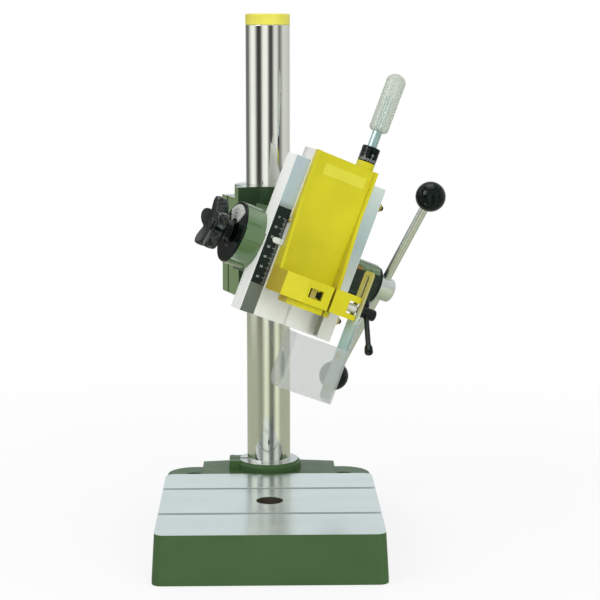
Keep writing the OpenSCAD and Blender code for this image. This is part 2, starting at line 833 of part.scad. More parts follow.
// Points along the flat return spring, wound from the shaft out to the drum
spring_r0 = shaft_d / 2 + 2.5;
spring_r1 = chamber_r - slide_gap - spring_t;
spring_steps = 24;
function spiral(a, dr) =
    let (r = spring_r0 + (spring_r1 - spring_r0) * a / (360 * spring_turns) + dr) [r * cos(a), r * sin(a)];
spring_inner = [for (i = [0 : spring_steps * spring_turns]) spiral(i * 360 / spring_steps, 0)];
spring_outer = [for (i = [spring_steps * spring_turns : -1 : 0]) spiral(i * 360 / spring_steps, spring_t)];
module return_spring() {
    color(steel) in_head() on_shaft() side(spring_x0, spring_x1) polygon(concat(spring_inner, spring_outer));
}

// Guide plate with its dovetail channel
module channel() {
    m = channel_mouth / 2;
    polygon([
        [-m + over * flank, front_y - over], [m - over * flank, front_y - over],
        [m + channel_depth * flank, floor_y], [-m - channel_depth * flank, floor_y]
    ]);
}
module gib_screw_places() {
    for (drop = [gib_screw_top, gib_screw_low])
        translate([0, front_y + channel_depth / 2, guide_top - drop]) children();
}
module guide_plate() {
    window = tip_r + pocket_side;
    color(alloy) in_head() difference() {
        box(-side_x, side_x, front_y, back_y, guide_bottom, guide_top);
        plan(guide_bottom - over, guide_top + over) channel();
        box(-rack_w / 2 - groove_side, rack_w / 2 + groove_side, floor_y - over, rack_tip_y + slide_gap,
            guide_bottom - over, guide_top + over);
        box(-rack_w / 2 - groove_side, rack_w / 2 + groove_side, floor_y - over, back_y + over,
            pinion_z - window, pinion_z + window);
        gib_screw_places() along_x(0, side_x + over, gib_screw_d + 2 * run_clear);
        for (x = [-guide_screw_x, guide_screw_x], z = guide_screw_zs) translate([x, 0, z]) {
            along_y(floor_y - over, back_y + over, guide_screw_d + 2 * run_clear);
            along_y(floor_y - over, floor_y + guide_screw_d, guide_screw_d * 1.8);
        }
    }
}
module guide_screws() {
    color(steel) in_head() for (x = [-guide_screw_x, guide_screw_x], z = guide_screw_zs)
        translate([x, 0, z]) mirror([0, 1, 0])
            cap_screw_y(-back_y - guide_screw_grip, -floor_y - guide_screw_d, guide_screw_d, guide_screw_d * 0.9);
}
module gib() {
    m = channel_mouth / 2;
    y0 = 0.5;
    y1 = channel_depth - slide_gap;
    color(steel) in_head() plan(guide_bottom + gib_inset, guide_top - gib_inset) polygon([
        [m + y0 * flank - gib_dx, front_y + y0], [m + y0 * flank, front_y + y0],
        [m + y1 * flank, front_y + y1], [m + y1 * flank - gib_dx, front_y + y1]
    ]);
}
gib_screw_x0 = channel_mouth / 2 + (channel_depth + gib_screw_d) / 2 * flank + slide_gap;
gib_nut_t = 4;
gib_screw_x1 = side_x + gib_nut_t + 3;
module gib_screws() {
    color(black) in_head() gib_screw_places() along_x(gib_screw_x0, gib_screw_x1, gib_screw_d);
}
module gib_locknuts() {
    color(gold) in_head() gib_screw_places() difference() {
        translate([side_x, 0, 0]) rotate([0, 90, 0]) cylinder(h = gib_nut_t, d = gib_screw_d * 1.8, $fn = 6);
        along_x(side_x - over, side_x + gib_nut_t + over, gib_screw_d + 2 * run_clear);
    }
}
module depth_scale() {
    x0 = -side_x + (lip_len - scale_w) / 2;
    z1 = guide_top - scale_top;
    color(black) in_head() box(x0, x0 + scale_w, front_y - scale_t, front_y, z1 - scale_l, z1);
}

// Lock knob and its stud, which presses on the end of the pinion shaft
module knob_outline() {
    lobe_at = knob_d / 2 - lobe_r + 1.5;
    circle(r = knob_hub_r);
    for (i = [0 : knob_lobes - 1]) rotate(i * 360 / knob_lobes) {
        translate([lobe_at, 0]) circle(r = lobe_r);
        translate([2, -lobe_r * 0.8]) square([lobe_at - 2, lobe_r * 1.6]);
    }
}
module lock_knob() {
    edge = 3;
    inner = knob_hub_r - 2;
    r = knob_d / 2;
    back = knob_t - petal_t;
    color(black) in_head() on_shaft() translate([knob_x1, 0, 0]) rotate([0, -90, 0]) difference() {
        union() {
            cylinder(h = neck_l + 2 * over, r = stud_d / 2 + 5);
            translate([0, 0, neck_l]) intersection() {
                translate([0, 0, -over]) linear_extrude(knob_t + 2 * over) knob_outline();
                rotate_extrude() polygon([
                    [0, 0], [inner, 0], [r - edge, back], [r, back + edge], [r, knob_t - 1],
                    [r - 1, knob_t], [inner, petal_t], [0, petal_t]
                ]);
            }
        }
        translate([0, 0, -over]) cylinder(h = neck_l + petal_t - 1, d = stud_d + 2 * run_clear);
    }
}
module lock_stud() {
    color(steel) in_head() on_shaft() along_x(knob_x1 - neck_l - petal_t / 2, shaft_x0 - slide_gap, stud_d);
}

// Dovetail slide: a tongue on its front guides the holder, the rack lies in its back
module slide_outline() {
    m = channel_mouth / 2;
    y1 = channel_depth - slide_gap;
    polygon([
        [-m + gap_dx, front_y], [m - gib_dx - gap_dx, front_y],
        [m + y1 * flank - gib_dx - gap_dx, front_y + y1], [-m - y1 * flank + gap_dx, front_y + y1]
    ]);
}
module dovetail_slide() {
    t = tongue_w / 2;
    color(alloy) in_head() difference() {
        union() {
            plan(slide_z0, slide_z1) slide_outline();
            plan(slide_z1 - over, slide_z1 + slide_rise) intersection() {
                slide_outline();
                translate([slide_step_x0, front_y]) square([slide_step_x1 - slide_step_x0, channel_depth]);
            }
            plan(slide_z0, slide_z1) polygon([
                [-t + tongue_taper, front_y + over], [t - tongue_taper, front_y + over],
                [t - tongue_taper, front_y], [t, tongue_y], [-t, tongue_y], [-t + tongue_taper, front_y]
            ]);
        }
        box(-rack_w / 2, rack_w / 2, rack_back_y, floor_y + over, rack_z0, rack_z1);
        rack_screw_places() {
            along_y(tongue_y - over, rack_back_y + over, rack_screw_d + 2 * run_clear);
            along_y(tongue_y - over, tongue_y + rack_screw_d, rack_screw_d * 1.8);
        }
        on_spindle() along_z(slide_z1 - nut_l, slide_z1 + over, nut_d + 2 * run_clear);
        on_spindle() along_z(slide_z1 - 2.5 * nut_l, slide_z1, spindle_d + 2 * slide_gap);
    }
}
module rack_screw_places() {
    for (z = [rack_z0 + 2 * tooth_pitch, rack_z1 - 2 * tooth_pitch]) translate([0, 0, z]) children();
}
rack_screw_end = rack_root_y - rack_screw_d / 2;
module rack_tooth() {
    half = tooth_pitch / 4 - backlash / 2;
    lean = tan(pressure_angle);
    polygon([
        [rack_root_y - over, -half - (1.25 * gear_module) * lean], [rack_root_y, -half - 1.25 * gear_module * lean],
        [rack_tip_y, -half + gear_module * lean], [rack_tip_y, half - gear_module * lean],
        [rack_root_y, half + 1.25 * gear_module * lean], [rack_root_y - over, half + 1.25 * gear_module * lean]
    ]);
}
module rack() {
    color(steel) in_head() difference() {
        side(-rack_w / 2, rack_w / 2) union() {
            translate([rack_back_y, rack_z0]) square([rack_base, rack_z1 - rack_z0]);
            for (i = [rack_first : rack_last]) translate([0, pinion_z + i * tooth_pitch]) rack_tooth();
        }
        rack_screw_places() along_y(rack_back_y - over, rack_screw_end + 0.5, rack_screw_d + 2 * run_clear);
    }
}
module rack_screws() {
    color(steel) in_head() rack_screw_places() mirror([0, 1, 0])
        cap_screw_y(-rack_screw_end, -tongue_y - rack_screw_d, rack_screw_d, rack_screw_d * 0.9);
}
module fine_feed_nut() {
    color(bronze) in_head() on_spindle() difference() {
        along_z(slide_z1 - nut_l, slide_z1, nut_d);
        along_z(slide_z1 - nut_l - over, slide_z1 + over, spindle_d + 2 * run_clear);
    }
}

// Tool holder: plate, rims, gussets, split collar and the lug of the fine feed
module collar_outline() {
    h = holder_w / 2;
    polygon([
        [-h, holder_back], [-h, block_face + collar_chamfer], [-h + collar_chamfer, block_face],
        [clamp_ear, block_face], [clamp_ear, clamp_y + strap_w / 2], [h, clamp_y + strap_w / 2], [h, holder_back]
    ]);
}
module gusset_profile() {
    polygon([
        [holder_front + over, collar_top - over], [holder_front - gusset_h, collar_top - over],
        [holder_front - rim_h, collar_top + gusset_l], [holder_front - rim_h, holder_z1],
        [holder_front + over, holder_z1]
    ]);
}
module holder_groove() {
    t = tongue_w / 2 + slide_gap;
    polygon([
        [-t + tongue_taper, holder_back + over], [t - tongue_taper, holder_back + over],
        [t - tongue_taper, holder_back], [t, tongue_y - slide_gap], [-t, tongue_y - slide_gap],
        [-t + tongue_taper, holder_back]
    ]);
}
module tool_holder() {
    h = holder_w / 2;
    lug_r = spindle_boss_d / 2;
    color(yellow) in_head() difference() {
        union() {
            box(-h, h, holder_front, holder_back, holder_z0, holder_z1);
            side(-h, -h + rim_t) gusset_profile();
            side(h - rim_t, h) gusset_profile();
            plan(holder_z0, collar_top) collar_outline();
            translate([0, tool_y, 0]) along_z(holder_z0 - lip_h, holder_z0 + over, collar_d + 2 * lip_wall);
            box(spindle_x - lug_r * 0.7, spindle_x + lug_r * 0.7, holder_back - over, spindle_y,
                holder_z1 - lug_t, holder_z1);
            on_spindle() along_z(holder_z1 - lug_t, boss_top, spindle_boss_d);
        }
        translate([0, tool_y, 0]) along_z(holder_z0 - lip_h - over, collar_top + over, collar_d);
        plan(holder_z0 - lip_h - over, slide_z1 + lug_t) holder_groove();
        box(slit_x - slit_w / 2, slit_x + slit_w / 2, block_face - over, tool_y,
            holder_z0 - lip_h - over, collar_top + over);
        on_clamp() along_x(window_x0, clamp_ear + over, clamp_d + 2 * run_clear);
        box(fork_x, clamp_ear + over, block_face - over, clamp_y + strap_w / 2 + over,
            screw_z - fork_h / 2, screw_z + fork_h / 2);
        box(window_x0, window_x1, block_face - over, clamp_y + clamp_nut_w / 2 + run_clear,
            screw_z - clamp_nut_w / 2 - run_clear, screw_z + clamp_nut_w / 2 + run_clear);
        on_spindle() along_z(holder_z1 - lug_t - over, boss_top + over, spindle_d + 2 * run_clear);
        pointer_screw_place() along_x(-h - over, -h + rim_t + over, pointer_screw_d + 2 * run_clear);
    }
}
module label_plate() {
    x0 = label_x - label_w / 2;
    z0 = guide_top - label_drop - label_h / 2;
    color(yellow) in_head() box(x0, x0 + label_w, holder_front - label_t, holder_front, z0, z0 + label_h);
}
module clamp_nut() {
    w = clamp_nut_w / 2;
    color(gold) in_head() on_clamp() difference() {
        box(nut_x0, nut_x0 + clamp_nut_t, -w, w, -w, w);
        along_x(nut_x0 - over, nut_x0 + clamp_nut_t + over, clamp_d + 2 * run_clear);
    }
}

// Pointer: a tab over the depth scale on a stem beside the holder
pointer_screw_d = 3;
pointer_screw_z = pointer_z + pointer_l - 4;
pointer_stem_y0 = holder_front - rim_h;
module pointer_screw_place() {
    translate([0, pointer_stem_y0 + 3, pointer_screw_z]) children();
}
module pointer() {
    color(clear) in_head() difference() {
        union() {
            box(pointer_x0, pointer_x1, pointer_y1 - pointer_t, pointer_y1, pointer_z - pointer_w / 2,
                pointer_z + pointer_w / 2);
            box(pointer_x1 - pointer_t, pointer_x1, pointer_stem_y0, pointer_y1, pointer_z - pointer_w / 2,
                pointer_z + pointer_l);
        }
        pointer_screw_place() along_x(pointer_x0, pointer_x1 + over, pointer_screw_d + 2 * run_clear);
    }
}
module pointer_screw() {
    color(gold) in_head() pointer_screw_place() {
        along_x(pointer_x1 - pointer_t, pointer_x1 + rim_t, pointer_screw_d);
        along_x(pointer_x1 - pointer_t - 2, pointer_x1 - pointer_t, pointer_screw_d * 1.9);
    }
}

// Fine feed
module feed_spindle() {
    color(steel) in_head() on_spindle() {
        along_z(spindle_z0, dial_z1, spindle_d);
        along_z(dial_z1, grip_z0, shank_d);
        along_z(grip_z0, grip_z0 + grip_l * 0.6, spindle_d);
    }
}
module feed_dial() {
    edge = 0.8;
    bore = spindle_d / 2 + run_clear;
    color(black) in_head() on_spindle() rotate_extrude() polygon([
        [bore, dial_z0], [dial_d / 2 - edge, dial_z0], [dial_d / 2, dial_z0 + edge],
        [dial_d / 2, dial_z1 - 2 * edge], [dial_d / 2 - 2 * edge, dial_z1], [bore, dial_z1]
    ]);
}
module feed_grip() {
    r = grip_d / 2;
    bore = spindle_d / 2 + run_clear;
    neck = 0.72;
    shoulder = 8;
    dome_z = grip_z0 + grip_l - r;
    color(pale) in_head() on_spindle() difference() {
        union() {
            rotate_extrude() polygon([
                [0, grip_z0], [r * neck, grip_z0], [r, grip_z0 + shoulder], [r, dome_z], [0, dome_z]
            ]);
            translate([0, 0, dome_z]) sphere(r = r);
        }
        along_z(grip_z0 - over, grip_z0 + grip_l * 0.6 + run_clear, 2 * bore);
    }
}

// Collar clamp and its tommy bar
module tommy_place() {
    on_clamp() translate([tommy_x, 0, 0]) rotate([-tommy_turn, 0, 0]) children();
}
module clamp_screw() {
    color(steel) in_head() on_clamp() along_x(window_x0 + 0.5, head_x0 + head_l / 4, clamp_d);
}
module clamp_spacer() {
    color(steel) in_head() on_clamp()
        tube_x(fork_x + slide_gap, clamp_ear - slide_gap, spacer_d, clamp_d + 2 * run_clear);
}
module clamp_head() {
    color(black) in_head() difference() {
        on_clamp() along_x(head_x0, head_x1, head_d);
        on_clamp() along_x(head_x0 - over, head_x0 + head_l / 4 + run_clear, clamp_d + 2 * run_clear);
        tommy_place() along_z(-head_d, head_d, tommy_d + 2 * run_clear);
    }
}
module tommy_bar() {
    half = tommy_l / 2 - 1;
    color(steel) in_head() tommy_place() along_z(-half - tommy_drop, half - tommy_drop, tommy_d);
}
module tommy_caps() {
    half = tommy_l / 2;
    edge = 1;
    color(black) in_head() tommy_place() translate([0, 0, -tommy_drop])
        for (s = [0, 1]) mirror([0, 0, s]) difference() {
            rotate_extrude() polygon([
                [0, half - tommy_cap_l], [tommy_cap_d / 2, half - tommy_cap_l], [tommy_cap_d / 2, half - edge],
                [tommy_cap_d / 2 - edge, half], [0, half]
            ]);
            along_z(0, half - 1 + run_clear, tommy_d + 2 * run_clear);
        }
}

// Shield: slotted strap, bent clear sheet and its screws
module shield_strap() {
    slot_z0 = screw_z - slot_low;
    slot_z1 = strap_z1 - slot_margin;
    r = 4;
    color(gold) in_head() translate([0, clamp_y, 0]) side(strap_x0, strap_x1) difference() {
        union() {
            translate([-strap_w / 2, strap_z0 + r]) square([strap_w, strap_z1 - strap_z0 - 2 * r]);
            translate([-strap_w / 2 + r, strap_z0]) square([strap_w - 2 * r, strap_z1 - strap_z0]);
            for (y = [r - strap_w / 2, strap_w / 2 - r], z = [strap_z0 + r, strap_z1 - r])
                translate([y, z]) circle(r = r);
        }
        translate([-slot_w / 2, slot_z0]) square([slot_w, slot_z1 - slot_z0]);
        for (z = [slot_z0, slot_z1]) translate([0, z]) circle(d = slot_w);
        for (z = shield_screw_zs) translate([0, z]) circle(d = shield_screw_d + 2 * run_clear);
    }
}
module shield_profile(grow) {
    b = shield_bend;
    x0 = shield_x0 + grow;
    x1 = shield_x1 - grow;
    y0 = shield_y0 + grow;
    y1 = clamp_y + strap_w;
    r = b - grow;
    union() {
        translate([x0 + r, y0]) square([x1 - x0 - 2 * r, y1 - y0]);
        translate([x0, y0 + r]) square([x1 - x0, y1 - y0 - r]);
        for (x = [x0 + r, x1 - r]) translate([x, y0 + r]) circle(r = r);
    }
}
module shield() {
    front_top = shield_z0 + shield_h;
    side_top = shield_z0 + shield_side_h;
    return_y = shield_y0 + shield_return;
    corner = shield_return / 2;
    color(clear) in_head() difference() {
        plan(shield_z0, side_top) difference() {
            shield_profile(0);
            shield_profile(shield_t);
        }
        box(shield_x0 - over, shield_x1 - shield_bend, shield_y0 - over, clamp_y + 2 * strap_w,
            front_top, side_top + over);
        box(shield_x0 - over, shield_x1 - shield_bend, return_y, clamp_y + 2 * strap_w,
            shield_z0 - over, side_top + over);
        box(shield_x1 - 2 * shield_bend, shield_x1 + over, clamp_y + strap_w / 2, clamp_y + 2 * strap_w,
            shield_z0 - over, side_top + over);
        difference() {
            box(shield_x0 - over, shield_x0 + 2 * shield_t, return_y - corner, return_y + over,
                shield_z0 - over, shield_z0 + corner);
            translate([0, return_y - corner, shield_z0 + corner])
                along_x(shield_x0 - 2 * over, shield_x0 + 3 * shield_t, 2 * corner);
        }
        for (z = shield_screw_zs) translate([0, clamp_y, z])
            along_x(shield_x1 - 2 * shield_t, shield_x1 + over, shield_screw_d + 2 * run_clear);
    }
}
module shield_screws() {
    head_w = shield_screw_d * 1.8;
    head_h = shield_screw_d * 0.45;
    color(gold) in_head() for (z = shield_screw_zs) translate([0, clamp_y, z]) {
        along_x(strap_x0, shield_x1 + head_h, shield_screw_d);
        along_x(strap_x0 - head_h, strap_x0, head_w);
        translate([shield_x1, 0, 0]) rotate([0, 90, 0]) cylinder(h = head_h, d = head_w, $fn = 6);
    }
}

// Pinion shaft, pinion and what turns with them
module pinion_shaft() {
    color(steel) in_head() on_shaft() difference() {
        along_x(shaft_x0, hub_x1 - hub_web, shaft_d);
        in_hub() along_z(-hub_d, hub_d, lever_d + 2 * run_clear);
        along_x(hub_x1 - hub_screw_l - run_clear, hub_x1, grub_d + 2 * run_clear);
    }
}
// Involute flank of the pinion: points from the root to the tip, for half a tooth
base_r = pitch_r * cos(pressure_angle);
flank_steps = 5;
function roll(r) = sqrt(max(0, r * r / (base_r * base_r) - 1)) * 180 / PI;
function involute(r) = roll(r) - atan(roll(r) * PI / 180);
half_tooth = 90 / pinion_teeth - backlash / 4 / pitch_r * 180 / PI;
function tooth_angle(r) = half_tooth + involute(pitch_r) - involute(max(r, base_r));
tooth_rs = [for (i = [0 : flank_steps]) root_r + (tip_r - root_r) * i / flank_steps];
function polar(r, a) = [r * cos(a), r * sin(a)];
pinion_points = [
    for (i = [0 : pinion_teeth - 1]) let (c = 180 + (i + 0.5) * 360 / pinion_teeth) each concat(
        [for (r = tooth_rs) polar(r, c - tooth_angle(r))],
        [for (k = [flank_steps : -1 : 0]) polar(tooth_rs[k], c + tooth_angle(tooth_rs[k]))]
    )
];
module feed_pinion() {
    color(steel) in_head() on_shaft() difference() {
        side(-pinion_w / 2, pinion_w / 2) polygon(pinion_points);
        along_x(-pinion_w, pinion_w, shaft_d + 2 * run_clear);
    }
}
module grub_on_shaft(x, r) {
    translate([x, 0, 0]) rotate([-60, 0, 0]) grub_z(shaft_d / 2 + slide_gap, r - 0.5, grub_d);
}
module grub_hole(x, r) {
    translate([x, 0, 0]) rotate([-60, 0, 0]) along_z(0, r + over, grub_d + 2 * run_clear);
}
module stop_ring() {
    x = (ring_x0 + ring_x1) / 2;
    color(steel) in_head() on_shaft() difference() {
        tube_x(ring_x0, ring_x1, 2 * ring_r, shaft_d + 2 * run_clear);
        grub_hole(x, ring_r);
    }
}
module ring_grub() {
    color(black) in_head() on_shaft() grub_on_shaft((ring_x0 + ring_x1) / 2, ring_r);
}
module friction_disc() {
    color(black) in_head() on_shaft() tube_x(ring_x1, disc_x1, 2 * disc_r, shaft_d + 2 * run_clear);
}
module in_hub() {
    translate([hub_x, 0, 0]) rotate([lever_lean, 0, 0]) children();
}
module on_lever() {
    on_shaft() in_hub() children();
}
module lever_hub() {
    edge = 1.5;
    color(steel) in_head() difference() {
        on_shaft() translate([hub_x0, 0, 0]) rotate([0, 90, 0]) rotate_extrude() polygon([
            [0, 0], [hub_d / 2, 0], [hub_d / 2, hub_l - edge], [hub_d / 2 - edge, hub_l], [0, hub_l]
        ]);
        on_shaft() along_x(hub_x0 - over, hub_x1 - hub_web + run_clear, shaft_d + 2 * run_clear);
        on_shaft() along_x(hub_x0, hub_x1 + over, grub_d + 2 * run_clear);
        on_lever() along_z(-hub_d, hub_d, lever_d + 2 * run_clear);
    }
}
module hub_screw() {
    color(black) in_head() on_shaft() {
        along_x(hub_x1 - hub_screw_l, hub_x1, grub_d);
        along_x(hub_x1, hub_x1 + 2, grub_d * socket_head_d);
    }
}
module lever_rod() {
    color(steel) in_head() on_lever() along_z(-lever_arm, lever_arm, lever_d);
}
module lever_balls() {
    color(black) in_head() on_lever() for (s = [-1, 1]) difference() {
        translate([0, 0, s * lever_arm]) sphere(d = ball_d);
        along_z(-lever_arm - run_clear, lever_arm + run_clear, lever_d + 2 * run_clear);
    }
}

base_casting();
base_clamp_screw();
column();
column_cap();
column_bracket();
bracket_clamp_screws();
swivel_lock_screw();
swivel_casting();
guide_plate();
guide_screws();
gib();
gib_screws();
gib_locknuts();
depth_scale();
spring_cap();
cap_insert();
return_spring();
shaft_bushes();
stop_pin();
lock_knob();
lock_stud();
dovetail_slide();
rack();
rack_screws();
fine_feed_nut();
tool_holder();
label_plate();
clamp_nut();
pointer();
pointer_screw();
feed_spindle();
feed_dial();
feed_grip();
clamp_screw();
clamp_spacer();
clamp_head();
tommy_bar();
tommy_caps();
shield_strap();
shield();
shield_screws();
pinion_shaft();
feed_pinion();
stop_ring();
ring_grub();
friction_disc();
lever_hub();
hub_screw();
lever_rod();
lever_balls();
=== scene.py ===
"""Looks of the drill stand: finishes, rounded and detailed pieces, studio and camera.

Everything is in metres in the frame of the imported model. The head is tilted and swung round the column,
so its pieces are made upright in the head's own frame (x right, y back, z up) and then turned by HEAD.
"""
import json
import math

import bmesh
import bpy
from mathutils import Matrix, Vector

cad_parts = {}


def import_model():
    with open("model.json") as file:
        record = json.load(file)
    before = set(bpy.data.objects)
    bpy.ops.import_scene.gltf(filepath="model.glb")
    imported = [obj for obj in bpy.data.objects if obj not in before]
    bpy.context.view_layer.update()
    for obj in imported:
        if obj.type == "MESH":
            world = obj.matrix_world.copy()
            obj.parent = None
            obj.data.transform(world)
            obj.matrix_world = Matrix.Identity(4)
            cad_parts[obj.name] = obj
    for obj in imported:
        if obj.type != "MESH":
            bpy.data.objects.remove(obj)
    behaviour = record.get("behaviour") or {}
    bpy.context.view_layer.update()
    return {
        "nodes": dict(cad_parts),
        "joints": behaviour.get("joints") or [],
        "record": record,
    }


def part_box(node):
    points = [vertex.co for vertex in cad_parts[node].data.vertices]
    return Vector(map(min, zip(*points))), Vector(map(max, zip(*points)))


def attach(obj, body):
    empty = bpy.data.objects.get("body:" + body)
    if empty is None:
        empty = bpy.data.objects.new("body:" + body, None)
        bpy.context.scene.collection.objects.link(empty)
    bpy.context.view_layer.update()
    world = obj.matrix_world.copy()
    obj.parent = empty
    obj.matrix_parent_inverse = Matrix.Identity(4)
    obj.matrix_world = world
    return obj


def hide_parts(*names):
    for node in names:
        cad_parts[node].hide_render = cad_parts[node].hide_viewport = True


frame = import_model()
MM = 0.001
RECORD = frame["record"]
JOINTS = {joint["name"]: joint for joint in frame["joints"]}
BODY = {node: body for body, nodes in RECORD["behaviour"]["bodies"].items() for node in nodes}
MOUNT = {mount["name"]: mount["pos_m"] for mount in RECORD["mounts"]}


# The head's frame and the axes in it, from the joints

def joint_axis(name):
    return Vector(JOINTS[name]["axis"]).normalized()


HEAD_AXES = (joint_axis("feed_turn"), joint_axis("head_tilt"), -joint_axis("feed_slide"))
HEAD = Matrix(HEAD_AXES).transposed().to_4x4()
HEAD.translation = Vector(JOINTS["head_tilt"]["pos_m"])
TO_HEAD = HEAD.inverted()
WORLD = Matrix.Identity(4)
X, Y, Z = Vector((1, 0, 0)), Vector((0, 1, 0)), Vector((0, 0, 1))


def joint_place(name):
    return TO_HEAD @ Vector(JOINTS[name]["pos_m"])


SHAFT = joint_place("feed_turn")
SPINDLE = joint_place("spindle_turn")
CLAMP = joint_place("clamp_turn")
BAR = TO_HEAD.to_3x3() @ joint_axis("tommy_slide")


def head_box(node):
    """Lowest and highest corners of a node in the head's frame."""
    points = [TO_HEAD @ v.co for v in frame["nodes"][node].data.vertices]
    return (Vector(min(p[i] for p in points) for i in range(3)),
            Vector(max(p[i] for p in points) for i in range(3)))


def head_normal(face):
    return TO_HEAD.to_3x3() @ face.normal


def head_middle(face):
    return TO_HEAD @ face.calc_center_median()


# Mesh helpers

def basis(origin, axis, start=None):
    """A frame whose z is the axis, with x near start."""
    z = Vector(axis).normalized()
    start = Vector(start) if start else (Y if abs(z.dot(Y)) < 0.9 else X)
    x = (start - z * start.dot(z)).normalized()
    turned = Matrix((x, z.cross(x), z)).transposed().to_4x4()
    turned.translation = Vector(origin)
    return turned


def arc(cx, cz, radius, start, end, steps=6):
    """Points of an arc in a profile or an outline, from start to end degrees in a number of steps."""
    angles = [math.radians(start + (end - start) * i / steps) for i in range(steps + 1)]
    return [(cx + radius * math.cos(a), cz + radius * math.sin(a)) for a in angles]


def bridge(bm, low, high):
    """Faces between two closed loops of vertices. A loop that repeats one vertex is a pole."""
    for i in range(len(low)):
        k = (i + 1) % len(low)
        corners = list(dict.fromkeys((low[i], low[k], high[k], high[i])))
        if len(corners) > 2:
            bm.faces.new(corners)


def lathe(bm, profile, place, segments):
    """Turns a profile of (radius, height) points round the place's z."""
    pole = 1e-7
    angles = [2 * math.pi * i / segments for i in range(segments)]
    rings = []
    for radius, height in profile:
        if radius < pole:
            rings.append([bm.verts.new(place @ Vector((0, 0, height)))] * segments)
            continue
        rings.append([bm.verts.new(place @ Vector((radius * math.cos(a), radius * math.sin(a), height)))
                      for a in angles])
    for low, high in zip(rings, rings[1:]):
        bridge(bm, low, high)


def spun(profile, place, segments):
    """A new mesh of one turned profile."""
    bm = bmesh.new()
    lathe(bm, profile, place, segments)
    return bm


def drum(radius, z0, z1, edge, foot=None):
    """Profile of a solid of revolution with rounded ends."""
    foot = edge if foot is None else foot
    return ([(0, z0)] + arc(radius - foot, z0 + foot, foot, -90, 0, steps=5)
            + arc(radius - edge, z1 - edge, edge, 0, 90, steps=5) + [(0, z1)])


def slab(bm, low, high, place):
    """A box between two corners."""
    v = [bm.verts.new(place @ Vector((x, y, z)))
         for x in (low[0], high[0]) for y in (low[1], high[1]) for z in (low[2], high[2])]
    for loop in ((0, 1, 3, 2), (4, 6, 7, 5), (0, 4, 5, 1), (2, 3, 7, 6), (0, 2, 6, 4), (1, 5, 7, 3)):
        bm.faces.new([v[i] for i in loop])


def prism(bm, outline, z0, z1, place):
    """An outline of (x, y) points drawn up between two heights."""
    low = [bm.verts.new(place @ Vector((x, y, z0))) for x, y in outline]
    high = [bm.verts.new(place @ Vector((x, y, z1))) for x, y in outline]
    bm.faces.new(list(reversed(low)))
    bm.faces.new(high)
    bridge(bm, low, high)


def figures(bm, words, size, place, lift):
    """Plain figures as thin raised print."""
    curve = bpy.data.curves.new("figures", "FONT")
    curve.body, curve.size, curve.align_x, curve.align_y = words, size, "CENTER", "CENTER"
    curve.extrude = lift
    carrier = bpy.data.objects.new("figures", curve)
    bpy.context.scene.collection.objects.link(carrier)
    mesh = carrier.to_mesh()
    mesh.transform(place)
    bm.from_mesh(mesh)
    carrier.to_mesh_clear()
    bpy.data.objects.remove(carrier)
    bpy.data.curves.remove(curve)


def round_edges(bm, width, segments, angle, keep=None):
    """Rounds the edges sharper than an angle, or those of them that keep() picks."""
    least = math.radians(angle)
    sharp = [e for e in bm.edges if len(e.link_faces) == 2 and e.calc_face_angle(0) > least]
    sharp = [e for e in sharp if keep is None or keep(e)]
    if sharp:
        bmesh.ops.bevel(bm, geom=sharp, offset=width, segments=segments, profile=0.5, affect="EDGES",
                        clamp_overlap=True, material=0)


def piece(name, bm, material, body, smooth=32):
    """Makes a mesh object of bm that rides on a body. Edges up to smooth degrees are shaded smooth."""
    bmesh.ops.recalc_face_normals(bm, faces=bm.faces)
    mesh = bpy.data.meshes.new(name)
    bm.to_mesh(mesh)
    bm.free()
    mesh.shade_smooth()
    mesh.set_sharp_from_angle(angle=math.radians(smooth))
    made = bpy.data.objects.new(name, mesh)
    made.modifiers.new("even_flats", "WEIGHTED_NORMAL").keep_sharp = True
    bpy.context.scene.collection.objects.link(made)
    for m in material if isinstance(material, list) else [material]:
        mesh.materials.append(m)
    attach(made, body)
    return made


def stands_for(name, bm, material, *nodes, smooth=32):
    """A piece that takes the place of CAD nodes and rides where they ride."""
    made = piece(name, bm, material, BODY[nodes[0]], smooth)
    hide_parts(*nodes)
    return made


def cad_mesh(node):
    """The node's mesh with its flat faces whole again."""
    weld, flat = 0.002 * MM, math.radians(0.6)
    bm = bmesh.new()
    bm.from_mesh(frame["nodes"][node].data)
    bmesh.ops.remove_doubles(bm, verts=bm.verts, dist=weld)
    bmesh.ops.dissolve_limit(bm, angle_limit=flat, verts=bm.verts, edges=bm.edges)
    return bm


def rounded(node, material, width, segments=2, angle=28, keep=None, paint=None):
    """The node with rounded edges. paint(face) gives a face's place in the list of materials."""
    bm = cad_mesh(node)
    if paint:
        for face in bm.faces:
            face.material_index = paint(face)
    round_edges(bm, width, segments, angle, keep)
    return stands_for(node + "_form", bm, material, node)


def crosswise(node, axis):
    """Left end of a node on an axis that runs to the right, and the node's radius and length."""
    low, high = head_box(node)
    return HEAD @ basis((low.x, axis.y, axis.z), X), (high.z - low.z) / 2, high.x - low.x


def axis_middle(node, axis):
    """The middle of such a node."""
    low, high = head_box(node)
    return Vector(((low.x + high.x) / 2, axis.y, axis.z))


def disc(node, axis, edge, segments):
    """Such a node as a plain disc or sleeve with rounded edges."""
    place, radius, length = crosswise(node, axis)
    return spun(drum(radius, 0, length, edge), place, segments)


# Painters, which give a face its place in a piece's list of materials; these two lay painted shade

# Shares of a unit normal by which a face looks squarely, or more or less, in a direction
SQUARELY, MOSTLY = 0.9, 0.5


def facing_left(least):
    """The second material, a painted shade, on faces that are turned to the left by at least this share."""
    return lambda face: int(head_normal(face).x < -least)


def below(face):
    """The second material, a painted shade, on faces of the bearing and of the stop ring that lie under
    their lit tops.
    """
    return int(head_normal(face).z < MOSTLY)


# Material helpers

